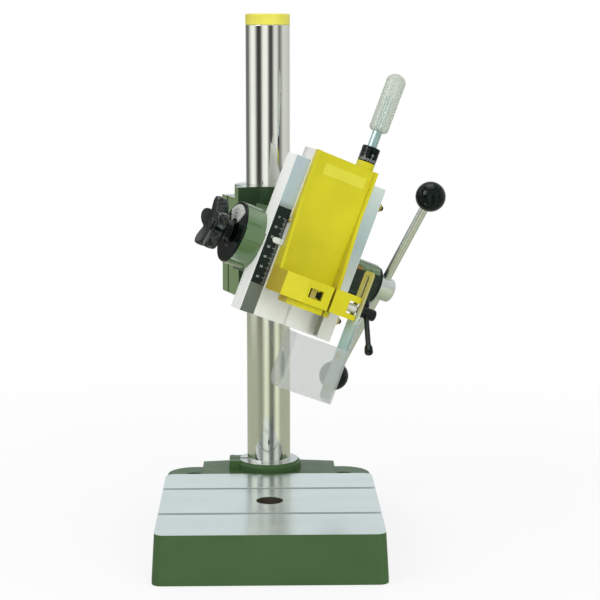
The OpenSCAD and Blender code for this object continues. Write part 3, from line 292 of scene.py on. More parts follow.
def srgb(red, green, blue):
    """A colour given as 0 to 255 screen values, made linear by the sRGB curve."""
    shares = [c / 255 for c in (red, green, blue)]
    return tuple(((s + 0.055) / 1.055) ** 2.4 if s > 0.0404 else s / 12.92 for s in shares) + (1,)


def tone(colour, factor):
    """A lighter or darker shade of a colour."""
    return tuple(c * factor for c in colour[:3]) + (1,)


def new_material(name, **sockets):
    """A material, its nodes and its shader, with constants on the shader's sockets."""
    material = bpy.data.materials.new(name)
    material.use_nodes = True
    shader = material.node_tree.nodes["Principled BSDF"]
    for socket, value in sockets.items():
        shader.inputs[socket.replace("_", " ")].default_value = value
    return material, material.node_tree, shader


def add(tree, kind, inputs=(), **settings):
    """A shader node, with its inputs set or linked."""
    node = tree.nodes.new("ShaderNode" + kind)
    for key, value in settings.items():
        setattr(node, key, value)
    for socket, value in dict(inputs).items():
        if isinstance(value, bpy.types.NodeSocket):
            tree.links.new(value, node.inputs[socket])
        else:
            node.inputs[socket].default_value = value
    return node


def coordinates(tree, scale=(1, 1, 1), in_head=True):
    """Places on the piece, in the head's frame or in the world's, stretched by scale."""
    place = add(tree, "TexCoord").outputs["Object"]
    if in_head:
        turn = {"Vector": place, "Rotation": TO_HEAD.to_euler(), "Location": TO_HEAD.translation}
        place = add(tree, "Mapping", turn).outputs["Vector"]
    return add(tree, "Mapping", {"Vector": place, "Scale": scale}).outputs["Vector"]


def noise(tree, vector, scale, detail):
    return add(tree, "TexNoise", {"Vector": vector, "Scale": scale, "Detail": detail}).outputs["Fac"]


def combine(tree, operation, first, second):
    return add(tree, "Math", {0: first, 1: second}, operation=operation).outputs[0]


def mixed(tree, share, first, second, kind="MIX"):
    """Two colours mixed by a share."""
    colours = {0: share, 6: first, 7: second}
    return add(tree, "Mix", colours, data_type="RGBA", blend_type=kind).outputs[2]


def span(tree, value, low, high, start=0.0, end=1.0):
    """Maps start to end onto low to high."""
    ends = {"From Min": start, "From Max": end, "To Min": low, "To Max": high}
    return add(tree, "MapRange", {"Value": value, **ends}).outputs["Result"]


def rise(tree, value, start, end):
    """Goes from 0 at start to 1 at end."""
    return span(tree, value, 0.0, 1.0, start, end)


def ramp(tree, factor, stops):
    """A colour ramp of (place, colour) stops."""
    node = add(tree, "ValToRGB", {"Fac": factor})
    elements = node.color_ramp.elements
    ends = [elements[0], elements[1]]
    for element, (place, colour) in zip(ends, (stops[0], stops[-1])):
        element.position, element.color = place, colour
    for place, colour in stops[1:-1]:
        elements.new(place).color = colour
    return node.outputs["Color"]


def clouded(tree, factor, colour, dark, light=1.0, ends=(0.3, 0.7)):
    """A colour that drifts between two shades of itself as a noise goes from one end to the other."""
    return ramp(tree, factor, [(ends[0], tone(colour, dark)), (ends[1], tone(colour, light))])


def skin(tree, shader, colour, roughness):
    """Links what every finish varies over its surface."""
    tree.links.new(colour, shader.inputs["Base Color"])
    tree.links.new(roughness, shader.inputs["Roughness"])


def bump(tree, shader, height, strength, distance):
    node = add(tree, "Bump", {"Height": height, "Strength": strength, "Distance": distance})
    tree.links.new(node.outputs["Normal"], shader.inputs["Normal"])


# Finishes

def enamel(name, colour, roughness, peel, shine=0.2, coat=0.05):
    """Sprayed enamel on a casting: slight clouding, orange peel and a soft sheen."""
    material, tree, shader = new_material(name, Coat_Weight=coat, Coat_Roughness=0.12,
                                          Specular_IOR_Level=shine)
    at = coordinates(tree, in_head=False)
    skin(tree, shader, clouded(tree, noise(tree, at, scale=26, detail=5), colour, dark=0.92, light=1.06),
         span(tree, noise(tree, at, scale=70, detail=4), low=roughness - 0.07, high=roughness + 0.09))
    bump(tree, shader, noise(tree, at, scale=620, detail=2), strength=peel, distance=0.6 * MM)
    return material


def milled(name, colour, roughness, stretch, lines, in_head=True, metal=1.0, depth=0.06):
    """Machined metal: fine tool marks stretched along one direction, with smeared patches of gloss.

    roughness is its lowest and its highest value.
    """
    material, tree, shader = new_material(name, Metallic=metal)
    patches = tuple(0.02 * s + 0.5 for s in stretch)
    marks = noise(tree, coordinates(tree, stretch, in_head), lines, detail=4)
    smear = noise(tree, coordinates(tree, patches, in_head), scale=22, detail=3)
    skin(tree, shader, clouded(tree, smear, colour, dark=0.95, light=1.03, ends=(0.3, 0.72)),
         span(tree, combine(tree, "MULTIPLY", marks, smear), *roughness))
    bump(tree, shader, marks, strength=depth, distance=0.12 * MM)
    return material


def graded(name, stops, metal, roughness):
    """A finish whose tone drifts along the head's height, given as (millimetres, colour) stops. On the
    holder's left faces the drift is painted shade, and on the guide's lands it is painted reflection.
    """
    material, tree, shader = new_material(name, Metallic=metal)
    height = add(tree, "SeparateXYZ", {"Vector": coordinates(tree)}).outputs["Z"]
    low, high = stops[0][0], stops[-1][0]
    share = rise(tree, height, low * MM, high * MM)
    tones = ramp(tree, share, [((z - low) / (high - low), colour) for z, colour in stops])
    marks = noise(tree, coordinates(tree, scale=(60, 60, 3)), scale=9, detail=3)
    streaks = clouded(tree, marks, (1, 1, 1, 1), dark=0.95)
    skin(tree, shader, mixed(tree, 1.0, tones, streaks, "MULTIPLY"),
         span(tree, marks, low=roughness - 0.06, high=roughness + 0.1))
    return material


def polished(name, colour, roughness, scuff):
    """Bright plating or turned steel with faint rub marks."""
    material, tree, shader = new_material(name, Metallic=1.0)
    at = coordinates(tree, in_head=False)
    skin(tree, shader, clouded(tree, noise(tree, at, scale=40, detail=4), colour, dark=0.95),
         span(tree, noise(tree, at, scale=120, detail=5), low=roughness, high=roughness + scuff))
    return material


def plastic(name, colour, roughness, grain, shine):
    """Moulded plastic, print or black oxide: fine grain, slight clouding and an even skin."""
    material, tree, shader = new_material(name, Specular_IOR_Level=shine)
    at = coordinates(tree, in_head=False)
    skin(tree, shader, clouded(tree, noise(tree, at, scale=60, detail=3), colour, dark=0.88, light=1.08),
         span(tree, noise(tree, at, scale=90, detail=4), low=roughness - 0.05, high=roughness + 0.08))
    bump(tree, shader, noise(tree, at, scale=1500, detail=2), strength=grain, distance=0.2 * MM)
    return material


def chromated(name, colours, roughness):
    """Yellow zinc plate, which drifts between several colours."""
    material, tree, shader = new_material(name, Metallic=1.0)
    at = coordinates(tree, in_head=False)
    first, width = 0.32, 0.36
    stops = [(first + width * i / (len(colours) - 1), c) for i, c in enumerate(colours)]
    skin(tree, shader, ramp(tree, noise(tree, at, scale=55, detail=3), stops),
         span(tree, noise(tree, at, scale=240, detail=3), low=roughness - 0.06, high=roughness + 0.1))
    return material


def clear_sheet(name, colour, cover, roughness):
    """Clear plastic sheet, with a haze of fine scratches."""
    material, tree, shader = new_material(name, Alpha=cover, IOR=1.49)
    at = coordinates(tree, scale=(1, 1, 0.2))
    skin(tree, shader, clouded(tree, noise(tree, at, scale=30, detail=3), colour, dark=0.96),
         span(tree, noise(tree, at, scale=300, detail=4), low=roughness, high=roughness + 0.08))
    return material


def milky(name, colour, through, roughness):
    """Cloudy clear plastic that lets some light through."""
    material, tree, shader = new_material(name, Transmission_Weight=through, IOR=1.4)
    at = coordinates(tree, scale=(1, 1, 0.3))
    skin(tree, shader, clouded(tree, noise(tree, at, scale=90, detail=4), colour, dark=0.93),
         span(tree, noise(tree, at, scale=400, detail=3), low=roughness, high=roughness + 0.14))
    return material


GREEN = enamel("green_enamel", srgb(65, 93, 55), roughness=0.36, peel=0.06)
GLOSS_GREEN = enamel("glossy_green_enamel", srgb(72, 104, 58), roughness=0.16, peel=0.01,
                     shine=0.8, coat=1.0)
# Painted light: a paler green on the bracket's left flank, where the key lamp falls
PAINTED_LIGHT_GREEN = enamel("painted_light_green", srgb(116, 138, 94), roughness=0.34, peel=0.03)
# Painted shade: a darker green on the bracket's upper front, in the shade behind the head
PAINTED_SHADE_GREEN = enamel("painted_shade_green", srgb(44, 74, 42), roughness=0.3, peel=0.03,
                     shine=0.3, coat=0.3)
# Painted shade: a deep green on the front of the right bearing and of the stop ring
PAINTED_DEEP_SHADE_GREEN = enamel("painted_deep_shade_green", srgb(24, 40, 30), roughness=0.3, peel=0.03,
                    shine=0.3, coat=0.2)
YELLOW = enamel("yellow_enamel", srgb(206, 198, 34), roughness=0.42, peel=0.05)
PALE_YELLOW = enamel("pale_yellow_enamel", srgb(216, 210, 62), roughness=0.36, peel=0.04)
# Painted shade: ochre on the holder's left faces, darkest towards the bottom
PAINTED_SHADE_YELLOW = graded("painted_shade_yellow", [
    (-40, srgb(178, 158, 46)), (-16, srgb(182, 164, 46)), (-12, srgb(198, 186, 46)),
    (103, srgb(206, 196, 44)),
], metal=0.0, roughness=0.42)
TABLE = milled("milled_table", srgb(220, 230, 227), roughness=(0.2, 0.29), stretch=(3, 90, 60), lines=9,
               in_head=False, depth=0.01)
SLOT_STEEL = milled("slot_steel", srgb(176, 186, 182), roughness=(0.4, 0.6), stretch=(6, 60, 60), lines=9,
                    in_head=False, metal=0.0)
# Painted shade: a darker alloy on the slide's left flank
PAINTED_SHADE_FLANK = milled("painted_shade_flank", srgb(206, 208, 204), roughness=(0.4, 0.55), stretch=(240, 240, 5), lines=8,
               metal=0.0)
ALLOY = milled("milled_alloy", srgb(251, 252, 247), roughness=(0.34, 0.52), stretch=(240, 240, 5), lines=8,
               metal=0.05)
# Painted reflections: the tones of the guide's left and right lands drift with height like reflections of
# the studio
LEFT_LAND_PAINTED_REFLECTION = graded("left_land_painted_reflection", [
    (-67, srgb(100, 109, 99)), (-40, srgb(108, 116, 106)), (38, srgb(124, 131, 122)),
    (46, srgb(172, 190, 192)), (91, srgb(178, 194, 203)),
], metal=0.2, roughness=0.4)
RIGHT_LAND_PAINTED_REFLECTION = graded("right_land_painted_reflection", [
    (-67, srgb(236, 238, 231)), (-30, srgb(234, 236, 230)), (0, srgb(194, 205, 201)),
    (30, srgb(170, 190, 192)), (60, srgb(186, 204, 204)), (91, srgb(212, 226, 220)),
], metal=0.2, roughness=0.4)
CHROME = polished("chrome_plate", srgb(246, 247, 243), roughness=0.06, scuff=0.05)
SATIN = polished("satin_chrome", srgb(240, 246, 242), roughness=0.3, scuff=0.06)
STEEL = polished("turned_steel", srgb(214, 218, 217), roughness=0.22, scuff=0.16)
SPACER = milled("turned_spacer", srgb(226, 229, 226), roughness=(0.3, 0.45), stretch=(220, 30, 30), lines=9,
                metal=0.4)
SHANK = milled("blue_zinc_plate", srgb(176, 204, 206), roughness=(0.2, 0.3), stretch=(30, 30, 220), lines=9,
               metal=0.7)
GROUND = milled("ground_steel", srgb(140, 144, 128), roughness=(0.4, 0.6), stretch=(220, 220, 5), lines=9,
                metal=0.5)
# Painted shade: a dark brownish steel on the wall of the work hole
PAINTED_SHADE_STEEL = milled("painted_shade_steel", srgb(84, 80, 64), roughness=(0.4, 0.6), stretch=(20, 20, 220), lines=9,
                in_head=False, metal=0.4)
BLACK = plastic("black_phenolic", srgb(8, 18, 17), roughness=0.12, grain=0.02, shine=0.22)
GLOSS_BLACK = plastic("glossy_black_plastic", srgb(8, 19, 19), roughness=0.14, grain=0.02, shine=0.7)
BLACK_OXIDE = plastic("black_oxide", srgb(22, 30, 28), roughness=0.34, grain=0.08, shine=0.25)
PRINT_BLACK = plastic("scale_film", srgb(26, 36, 33), roughness=0.4, grain=0.02, shine=0.15)
PRINT_WHITE = plastic("white_print", srgb(196, 203, 198), roughness=0.45, grain=0.02, shine=0.2)
PALE = plastic("pale_plastic", srgb(214, 220, 212), roughness=0.3, grain=0.0, shine=0.3)
CAP_YELLOW = plastic("yellow_plastic", srgb(230, 222, 88), roughness=0.24, grain=0.03, shine=0.5)
ZINC = chromated("yellow_zinc_plate", [srgb(196, 184, 96), srgb(214, 196, 108), srgb(214, 200, 140)],
                 roughness=0.30)
STRAP = graded("strap_plate", [
    (-117, srgb(196, 212, 202)), (-66, srgb(180, 214, 208)), (-40, srgb(200, 220, 212)),
    (-26, srgb(188, 184, 128)), (11, srgb(186, 178, 102)),
], metal=0.25, roughness=0.34)
BRONZE = polished("bearing_bronze", srgb(186, 146, 92), roughness=0.3, scuff=0.14)
CLEAR = clear_sheet("clear_sheet", srgb(188, 194, 188), cover=0.44, roughness=0.06)
CLEAR_STRIP = clear_sheet("clear_strip", srgb(228, 226, 170), cover=0.4, roughness=0.1)
CLEAR_TAB = clear_sheet("clear_tab", srgb(228, 234, 226), cover=0.8, roughness=0.1)
CLEAR_GRIP = milky("milky_grip", srgb(208, 215, 203), through=0.5, roughness=0.2)


# Base, column and cap

TABLE_Z = MOUNT["work_table"][2]
HOLE = Vector((0, MOUNT["work_hole"][1]))
SLOT_YS = [place[1] for name, place in MOUNT.items() if name.startswith("tslot")]


def in_slot(point):
    """Whether a point lies within the width of a T-slot, at any height."""
    half_width = 8 * MM
    return any(abs(point.y - y) < half_width for y in SLOT_YS)


def base():
    """The casting, with bare metal where it is machined, and painted shade on the steel wall of the work
    hole.
    """
    casting, table, bore, slot = range(4)
    slot_floor, hole_wall, near, level = 30 * MM, 14 * MM, 0.2 * MM, 0.99
    hole_rim, socket_rim, foot = 16 * MM, 24 * MM, 1 * MM

    def metal(face):
        """Bare metal on the table and in its slots, and painted shade on the steel wall of the work hole.
        """
        middle = face.calc_center_median()
        if face.normal.z > level and abs(middle.z - TABLE_Z) < near:
            return table
        if in_slot(middle) and middle.z > slot_floor:
            return slot
        upright = abs(face.normal.z) < MOSTLY
        return bore if upright and (middle.xy - HOLE).length < hole_wall else casting

    def outer(edge):
        """Leaves the foot, the slots, the work hole and the column's socket sharp."""
        middle = (edge.verts[0].co + edge.verts[1].co) / 2
        bored = (middle.xy - HOLE).length < hole_rim or middle.xy.length < socket_rim
        return not in_slot(middle) and not bored and middle.z > foot

    rounded("base_casting", [GREEN, TABLE, PAINTED_SHADE_STEEL, SLOT_STEEL], width=2.2 * MM, segments=4,
            keep=outer, paint=metal)
    boss_ring()


def boss_ring():
    """The bare turned face round the column, open at the clamp's slit, which is given in degrees."""
    inner, outer, thick = 22.7 * MM, 30.2 * MM, 0.12 * MM
    slit, inner_slit = 4, 5.2
    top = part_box("base_casting")[1].z
    outline = (arc(0, 0, outer, -180 + slit, 180 - slit, steps=96)
               + arc(0, 0, inner, 180 - inner_slit, -180 + inner_slit, steps=96))
    bm = bmesh.new()
    prism(bm, outline, top, top + thick, WORLD)
    piece("boss_ring", bm, STEEL, "base")


def column():
    """The chromed tube and its cap."""
    low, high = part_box("column")
    radius, wall, edge = high.x, 4 * MM, 0.8 * MM
    bore = radius - wall
    profile = ([(bore, low.z), (radius, low.z)] + arc(radius - edge, high.z - edge, edge, 0, 90)
               + [(bore, high.z), (bore, low.z)])
    stands_for("column_tube", spun(profile, WORLD, segments=128), CHROME, "column")
    column_cap(radius, bore, high.z)


def column_cap(radius, bore, seat):
    """A plug in the tube, with a rounded head that lies on the tube's end."""
    low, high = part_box("column_cap")
    slack, lip, edge = 0.1 * MM, 0.5 * MM, 1.8 * MM
    plug = bore - slack
    profile = ([(0, low.z), (plug, low.z), (plug, seat)]
               + arc(radius - lip, seat + lip, lip, -90, 0, steps=3)
               + arc(radius - edge, high.z - edge, edge, 0, 90) + [(0, high.z)])
    stands_for("cap_form", spun(profile, WORLD, segments=96), CAP_YELLOW, "column_cap")


# Bracket, head casting and what is on the left end of the shaft

def castings():
    """The bracket on the column and the casting of the head."""
    plain, pale, deep = range(3)
    bearing_start = head_box("stop_ring")[0].x - 2 * MM

    def bracket_tone(face):
        """Painted light on the left flank, painted shade on the upper front between the flank and the head.
        """
        if face.normal.x < -SQUARELY:
            return pale
        upper = face.calc_center_median().z > HEAD.translation.z
        return deep if upper and face.normal.y < -MOSTLY else plain

    def bearing_tone(face):
        """Painted shade on the front of the right bearing."""
        reach = max((TO_HEAD @ v.co).x for v in face.verts)
        return below(face) if reach > bearing_start else plain

    # The bracket gets painted light on its left flank and painted shade on its upper front
    rounded("column_bracket", [GLOSS_GREEN, PAINTED_LIGHT_GREEN, PAINTED_SHADE_GREEN], width=1.2 * MM, segments=3,
            paint=bracket_tone)
    # The front of the right bearing gets painted shade
    rounded("swivel_casting", [GLOSS_GREEN, PAINTED_DEEP_SHADE_GREEN], width=1.0 * MM, segments=3, paint=bearing_tone)


def spring_drum():
    """The cap of the return spring, with a sunk groove round its hub."""
    low, high = head_box("spring_cap")
    radius, depth = (high.z - low.z) / 2, high.x - low.x
    edge, seam = 0.9 * MM, 0.3 * MM
    groove_outer, groove_inner, slope, sunk = 15.5 * MM, 11 * MM, 1 * MM, 0.8 * MM
    hub, swell, crown, proud = 10 * MM, 1 * MM, 9.5 * MM, 0.7 * MM
    place = basis((high.x, SHAFT.y, SHAFT.z), -X)
    profile = ([(0, 0), (radius - seam, 0), (radius - seam, seam), (radius, 2 * seam)]
               + arc(radius - edge, depth - edge, edge, 0, 90)
               + [(groove_outer, depth), (groove_outer - slope, depth - sunk)]
               + [(groove_inner, depth - sunk)]
               + arc(hub, depth - sunk + swell, swell, -90, 0, steps=3)
               + [(crown, depth + proud), (0, depth + proud)])
    stands_for("spring_cap_form", spun(profile, HEAD @ place, segments=96), BLACK, "spring_cap")
    insert(place.translation, depth)


def insert(place, depth):
    """The pale segment on the cap, with three raised arcs."""
    low, high = head_box("cap_insert")
    outer, inner, thick = (high.y - low.y) / 2, 13 * MM, high.x - low.x
    half_angle = 42
    arcs, first, pitch, width, proud = 3, 2.5 * MM, 3.6 * MM, 0.7 * MM, 0.4 * MM
    starts = [inner + first + pitch * i for i in range(arcs)]
    bm = bmesh.new()
    for r0, r1, height in [(inner, outer, thick)] + [(r, r + width, thick + proud) for r in starts]:
        outline = (arc(0, 0, r1, -half_angle, half_angle, steps=32)
                   + arc(0, 0, r0, half_angle, -half_angle, steps=32))
        prism(bm, outline, depth, depth + height, HEAD @ basis(place, -X, Z))
    stands_for("cap_insert_form", bm, PALE, "cap_insert")


def knob():
    """Star knob: lobes on a ribbed neck, with a button in the middle."""
    high = head_box("lock_knob")[1]
    place = HEAD @ basis((high.x, SHAFT.y, SHAFT.z), -X, Z)
    neck, thick = 8 * MM, 12 * MM
    top = neck + thick
    bm = bmesh.new()
    star(bm, place, high.z - SHAFT.z, neck, thick)
    ribs, root, rib_at, rib, first, pitch = 4, 8.4 * MM, 8.6 * MM, 0.9 * MM, 1.4 * MM, 2.2 * MM
    ribbed = [(0, 0), (root, 0)]
    for i in range(ribs):
        ribbed += arc(rib_at, first + pitch * i, rib, -80, 80, steps=4)
    throat, sunk = 9 * MM, 2 * MM
    lathe(bm, ribbed + [(throat, neck + sunk), (0, neck + sunk)], place, segments=48)
    button, edge, crown = 6 * MM, 1 * MM, 2.2 * MM
    lathe(bm, [(0, top - edge), (button, top - edge)] + arc(button - edge, top + edge, edge, 0, 90)
          + [(0, top + crown)], place, segments=40)
    stands_for("lock_knob_form", bm, GLOSS_BLACK, "lock_knob", smooth=50)


def star(bm, place, tip, neck, thick):
    """The knob's lobes, which curl outwards like petals: rings out to the rim, round it and back."""
    lobes, valley, fullness = 5, 16.5 * MM, 0.75
    curl, bend = 6 * MM, 1.5
    steps, rings, rim_steps, rim = 160, 14, 8, 0.93
    half = thick / 2

    def ring(share, lift):
        """A loop of points at a share of the star's reach, lifted off the curled middle surface."""
        loop = []
        for i in range(steps):
            angle = 2 * math.pi * i / steps
            lobe = 0.5 + 0.5 * math.cos(lobes * angle)
            radius = share * (valley + (tip - valley) * lobe ** fullness)
            height = neck + half + curl * (radius / tip) ** bend + lift
            at = Vector((radius * math.cos(angle), radius * math.sin(angle), height))
            loop.append(bm.verts.new(place @ at))
        return loop

    shares = [rim * i / rings for i in range(1, rings + 1)]
    turns = [math.pi * i / rim_steps for i in range(1, rim_steps)]
    loops = [ring(share, -half) for share in shares]
    loops += [ring(rim + (1 - rim) * math.sin(a), -half * math.cos(a)) for a in turns]
    loops += [ring(share, half) for share in reversed(shares)]
    for low, high in zip(loops, loops[1:]):
        bridge(bm, low, high)
    bm.faces.new(loops[0])
    bm.faces.new(loops[-1])


# Guide with its scale, gib and screws

def guide():
    """The guide plate, the slide in it, the gib with its screws, and the depth scale."""
    plate, left, right = range(3)
    land_start = 34 * MM

    def land(face):
        """Painted reflections on the front of the left and of the right land, outside the slide."""
        x = head_middle(face).x
        if head_normal(face).y > -SQUARELY or abs(x) < land_start:
            return plate
        return left if x < 0 else right

    # The lands get painted reflections
    rounded("guide_plate", [ALLOY, LEFT_LAND_PAINTED_REFLECTION, RIGHT_LAND_PAINTED_REFLECTION], width=0.5 * MM, paint=land)
    # The slide's left flank gets painted shade
    rounded("dovetail_slide", [ALLOY, PAINTED_SHADE_FLANK], width=0.35 * MM, segments=1, paint=facing_left(MOSTLY))
    rounded("gib", GROUND, width=0.3 * MM, segments=1)
    rounded("depth_scale", PRINT_BLACK, width=0.1 * MM, segments=1)
    scale_print()
    gib_fasteners()


def scale_print():
    """Millimetre ticks down the right edge and a figure at each centimetre."""
    low, high = head_box("depth_scale")
    zero, right, lift, length_mm = high.z - 10.4 * MM, high.x - 0.6 * MM, 0.08 * MM, 65
    ten, five, one = 4.6 * MM, 3.6 * MM, 2.4 * MM
    bold, fine = 0.24 * MM, 0.14 * MM
    figure_x, figure_size = low.x + 4.6 * MM, 3.2 * MM
    bm = bmesh.new()
    for step in range(length_mm + 1):
        z = zero - step * MM
        long = ten if step % 10 == 0 else five if step % 5 == 0 else one
        half = (fine if step % 5 else bold) / 2
        slab(bm, (right - long, low.y - lift, z - half), (right, low.y, z + half), HEAD)
    for step in range(0, length_mm + 1, 10):
        at = Vector((figure_x, low.y, zero - step * MM))
        figures(bm, str(step), figure_size, HEAD @ basis(at, -Y, X), lift)
    piece("scale_print", bm, PRINT_WHITE, "head")


def gib_fasteners():
    """Two socket screws in the guide's right side, each with a lock nut."""
    low, high = head_box("gib_screws")
    nut_low, nut_high = head_box("gib_locknuts")
    y, length = (low.y + high.y) / 2, high.x - low.x
    radius, bevel, socket, socket_depth = 2.5 * MM, 0.6 * MM, 1.6 * MM, 2 * MM
    corner, nut_edge = 4.5 * MM, 0.4 * MM
    profile = [(0, 0), (radius, 0), (radius, length - bevel), (radius - bevel, length), (socket, length),
               (socket, length - socket_depth), (0, length - socket_depth)]
    hexagon = arc(0, 0, corner, 0, 300, steps=5)
    screws, nuts = bmesh.new(), bmesh.new()
    for z in (high.z - radius, low.z + radius):
        lathe(screws, profile, HEAD @ basis((low.x, y, z), X), segments=32)
        prism(nuts, hexagon, 0, nut_high.x - nut_low.x, HEAD @ basis((nut_low.x, y, z), X))
    round_edges(nuts, nut_edge, segments=2, angle=40)
    stands_for("gib_screws_form", screws, BLACK_OXIDE, "gib_screws")
    stands_for("gib_locknuts_form", nuts, ZINC, "gib_locknuts")


# Holder, its collar clamp and the pointer

def holder():
    """The tool holder with its plate, the nut in its collar, and the pointer."""
    # The holder's left faces get painted shade
    rounded("tool_holder", [YELLOW, PAINTED_SHADE_YELLOW], width=0.8 * MM, segments=3, paint=facing_left(SQUARELY))
    rounded("label_plate", PALE_YELLOW, width=0.15 * MM)
    rounded("clamp_nut", ZINC, width=0.5 * MM)
    pointer()
    pointer_screw()


def pointer():
    """A clear strip beside the holder, with a tab whose cut corners end at the scale's ticks."""
    low, high = head_box("pointer")
    thick, tall, nose, edge = 1.2 * MM, 5.5 * MM, 2 * MM, 0.3 * MM
    half, middle, reach = (high.y - low.y) / 2, (high.y + low.y) / 2, high.x - low.x
    inner = high.x - thick
    stem = arc(middle, high.z - half, half, 0, 180, steps=12) + [(low.y, low.z), (high.y, low.z)]
    tab = [(0, 0), (reach - nose, 0), (reach, nose),
           (reach, tall - nose), (reach - nose, tall), (0, tall)]
    bm = bmesh.new()
    prism(bm, stem, 0, thick, HEAD @ basis((inner, 0, 0), X, Y))
    prism(bm, tab, 0, thick, HEAD @ basis((high.x, high.y, low.z + tall), -Y, -X))
    round_edges(bm, edge, segments=2, angle=40)
    for face in bm.faces:
        face.material_index = int(head_middle(face).x < inner)
    stands_for("pointer_form", bm, [CLEAR_STRIP, CLEAR_TAB], "pointer")


def pointer_screw():
    """A small round-headed screw with a dimple."""
    low, high = head_box("pointer_screw")
    place = HEAD @ basis((high.x, (low.y + high.y) / 2, (low.z + high.z) / 2), -X)
    length, head = high.x - low.x, (high.z - low.z) / 2
    shank, thick, dome, dimple = 1.5 * MM, 2 * MM, 0.9 * MM, 0.5 * MM
    profile = ([(0, 0), (shank, 0), (shank, length - thick), (head, length - thick)]
               + arc(head - dome, length - dome, dome, 0, 90) + [(dimple, length), (0, length - dimple)])
    stands_for("pointer_screw_form", spun(profile, place, segments=32), ZINC, "pointer_screw")


def clamp():
    """The collar's clamp screw with its spacer, its head and the bar in the head."""
    clamp_screw()
    spacer = disc("clamp_spacer", CLAMP, edge=0.5 * MM, segments=48)
    stands_for("clamp_spacer_form", spacer, SPACER, "clamp_spacer")
    clamp_head()
    tommy(axis_middle("clamp_head", CLAMP))


def clamp_screw():
    """The threaded rod. Its crests and roots take turns at half the pitch."""
    place, _, length = crosswise("clamp_screw", CLAMP)
    radius, tip, depth, half_pitch = 3 * MM, 0.6 * MM, 0.32 * MM, 0.5 * MM
    threaded, plain = 24 * MM, 26 * MM
    thread = [(radius - (depth if i % 2 else 0), tip + i * half_pitch)
              for i in range(int(threaded / half_pitch))]
    profile = [(0, 0), (radius - tip, 0)] + thread + [(radius, plain), (radius, length), (0, length)]
    stands_for("clamp_screw_form", spun(profile, place, segments=40), BLACK_OXIDE, "clamp_screw")


def clamp_head():
    """A round head on a narrower foot."""
    place, radius, length = crosswise("clamp_head", CLAMP)
    recess, step, foot, edge = 2 * MM, 1.2 * MM, 0.8 * MM, 1.2 * MM
    profile = ([(0, 0), (radius - recess, 0), (radius - recess, step)]
               + arc(radius - foot, step + foot, foot, -90, 0, steps=4)
               + arc(radius - edge, length - edge, edge, 0, 90) + [(0, length)])
    stands_for("clamp_head_form", spun(profile, place, segments=56), BLACK_OXIDE, "clamp_head")


def tommy(middle):
    """The sliding bar of the clamp screw with a moulded cap on each end."""
    along = [(TO_HEAD @ v.co - middle).dot(BAR) for v in frame["nodes"]["tommy_caps"].data.vertices]
    low, high = min(along), max(along)
    place = HEAD @ basis(middle, BAR)
    bar, inset, edge = 2.5 * MM, 1 * MM, 0.5 * MM
    rod = spun(drum(bar, low + inset, high - inset, edge), place, segments=32)
    stands_for("tommy_bar_form", rod, BLACK_OXIDE, "tommy_bar")
    cap, radius, dome, taper, lip = 10 * MM, 4 * MM, 2 * MM, 3.5 * MM, 0.5 * MM
    profile = ([(0, 0)] + arc(radius - dome, dome, dome, -90, 0)
               + [(radius, cap - taper), (bar + lip, cap), (0, cap)])
    bm = bmesh.new()
    for end, sign in ((low, 1), (high, -1)):
        lathe(bm, [(r, end + sign * h) for r, h in profile], place, segments=40)
    stands_for("tommy_caps_form", bm, BLACK, "tommy_caps")


# Guard

def guard():
    """The slotted strap and the clear sheet, with their screws."""
    rounded("shield_strap", STRAP, width=0.4 * MM)
    sheet = rounded("shield", CLEAR, width=0.25 * MM, segments=1, angle=40)
    hair = 0.05 * MM
    # A hair to the right, so that no face of the sheet coincides with a neighbour's
    sheet.data.transform(Matrix.Translation(HEAD.to_3x3() @ X * hair))
    shield_screws()


def shield_screws():
    """Two screws with a dimple in the round head and a plain disc at the far end."""
    low, high = head_box("shield_screws")
    length = high.x - low.x
    head, thick, edge, shank, far_end = 3.6 * MM, 1.8 * MM, 1.2 * MM, 2 * MM, 3.4 * MM
    dimple, mouth, depth = 1.3 * MM, 1.5 * MM, 0.5 * MM
    profile = ([(0, depth), (dimple, depth), (mouth, 0)] + arc(head - edge, edge, edge, -90, 0)
               + [(head, thick), (shank, thick), (shank, length - thick), (far_end, length - thick),
                  (far_end, length), (0, length)])
    bm = bmesh.new()
    for z in (low.z + head, high.z - head):
        lathe(bm, profile, HEAD @ basis((low.x, CLAMP.y, z), X), segments=36)
    stands_for("shield_screws_form", bm, ZINC, "shield_screws")


# Fine feed

def fine_feed():
    """What turns on the spindle's axis."""
    place = HEAD @ basis((SPINDLE.x, SPINDLE.y, 0), Z)
    dial(place)
    spindle(place)
    grip(place)


def dial(place):
    """The black dial, with a groove near its top."""
    low, high = head_box("feed_dial")
    radius = (high.x - low.x) / 2
    foot, edge = 0.8 * MM, 1.4 * MM
    start, groove, slope, flat = high.z - 6 * MM, 0.35 * MM, 0.3 * MM, 0.5 * MM
    profile = ([(0, low.z)] + arc(radius - foot, low.z + foot, foot, -90, 0, steps=4)
               + [(radius, start), (radius - groove, start + slope)]
               + [(radius - groove, start + slope + flat), (radius, start + 2 * slope + flat)]
               + arc(radius - edge, high.z - edge, edge, 0, 90) + [(0, high.z)])
    stands_for("feed_dial_form", spun(profile, place, segments=72), BLACK, "feed_dial")
    dial_print(place, radius, low.z)


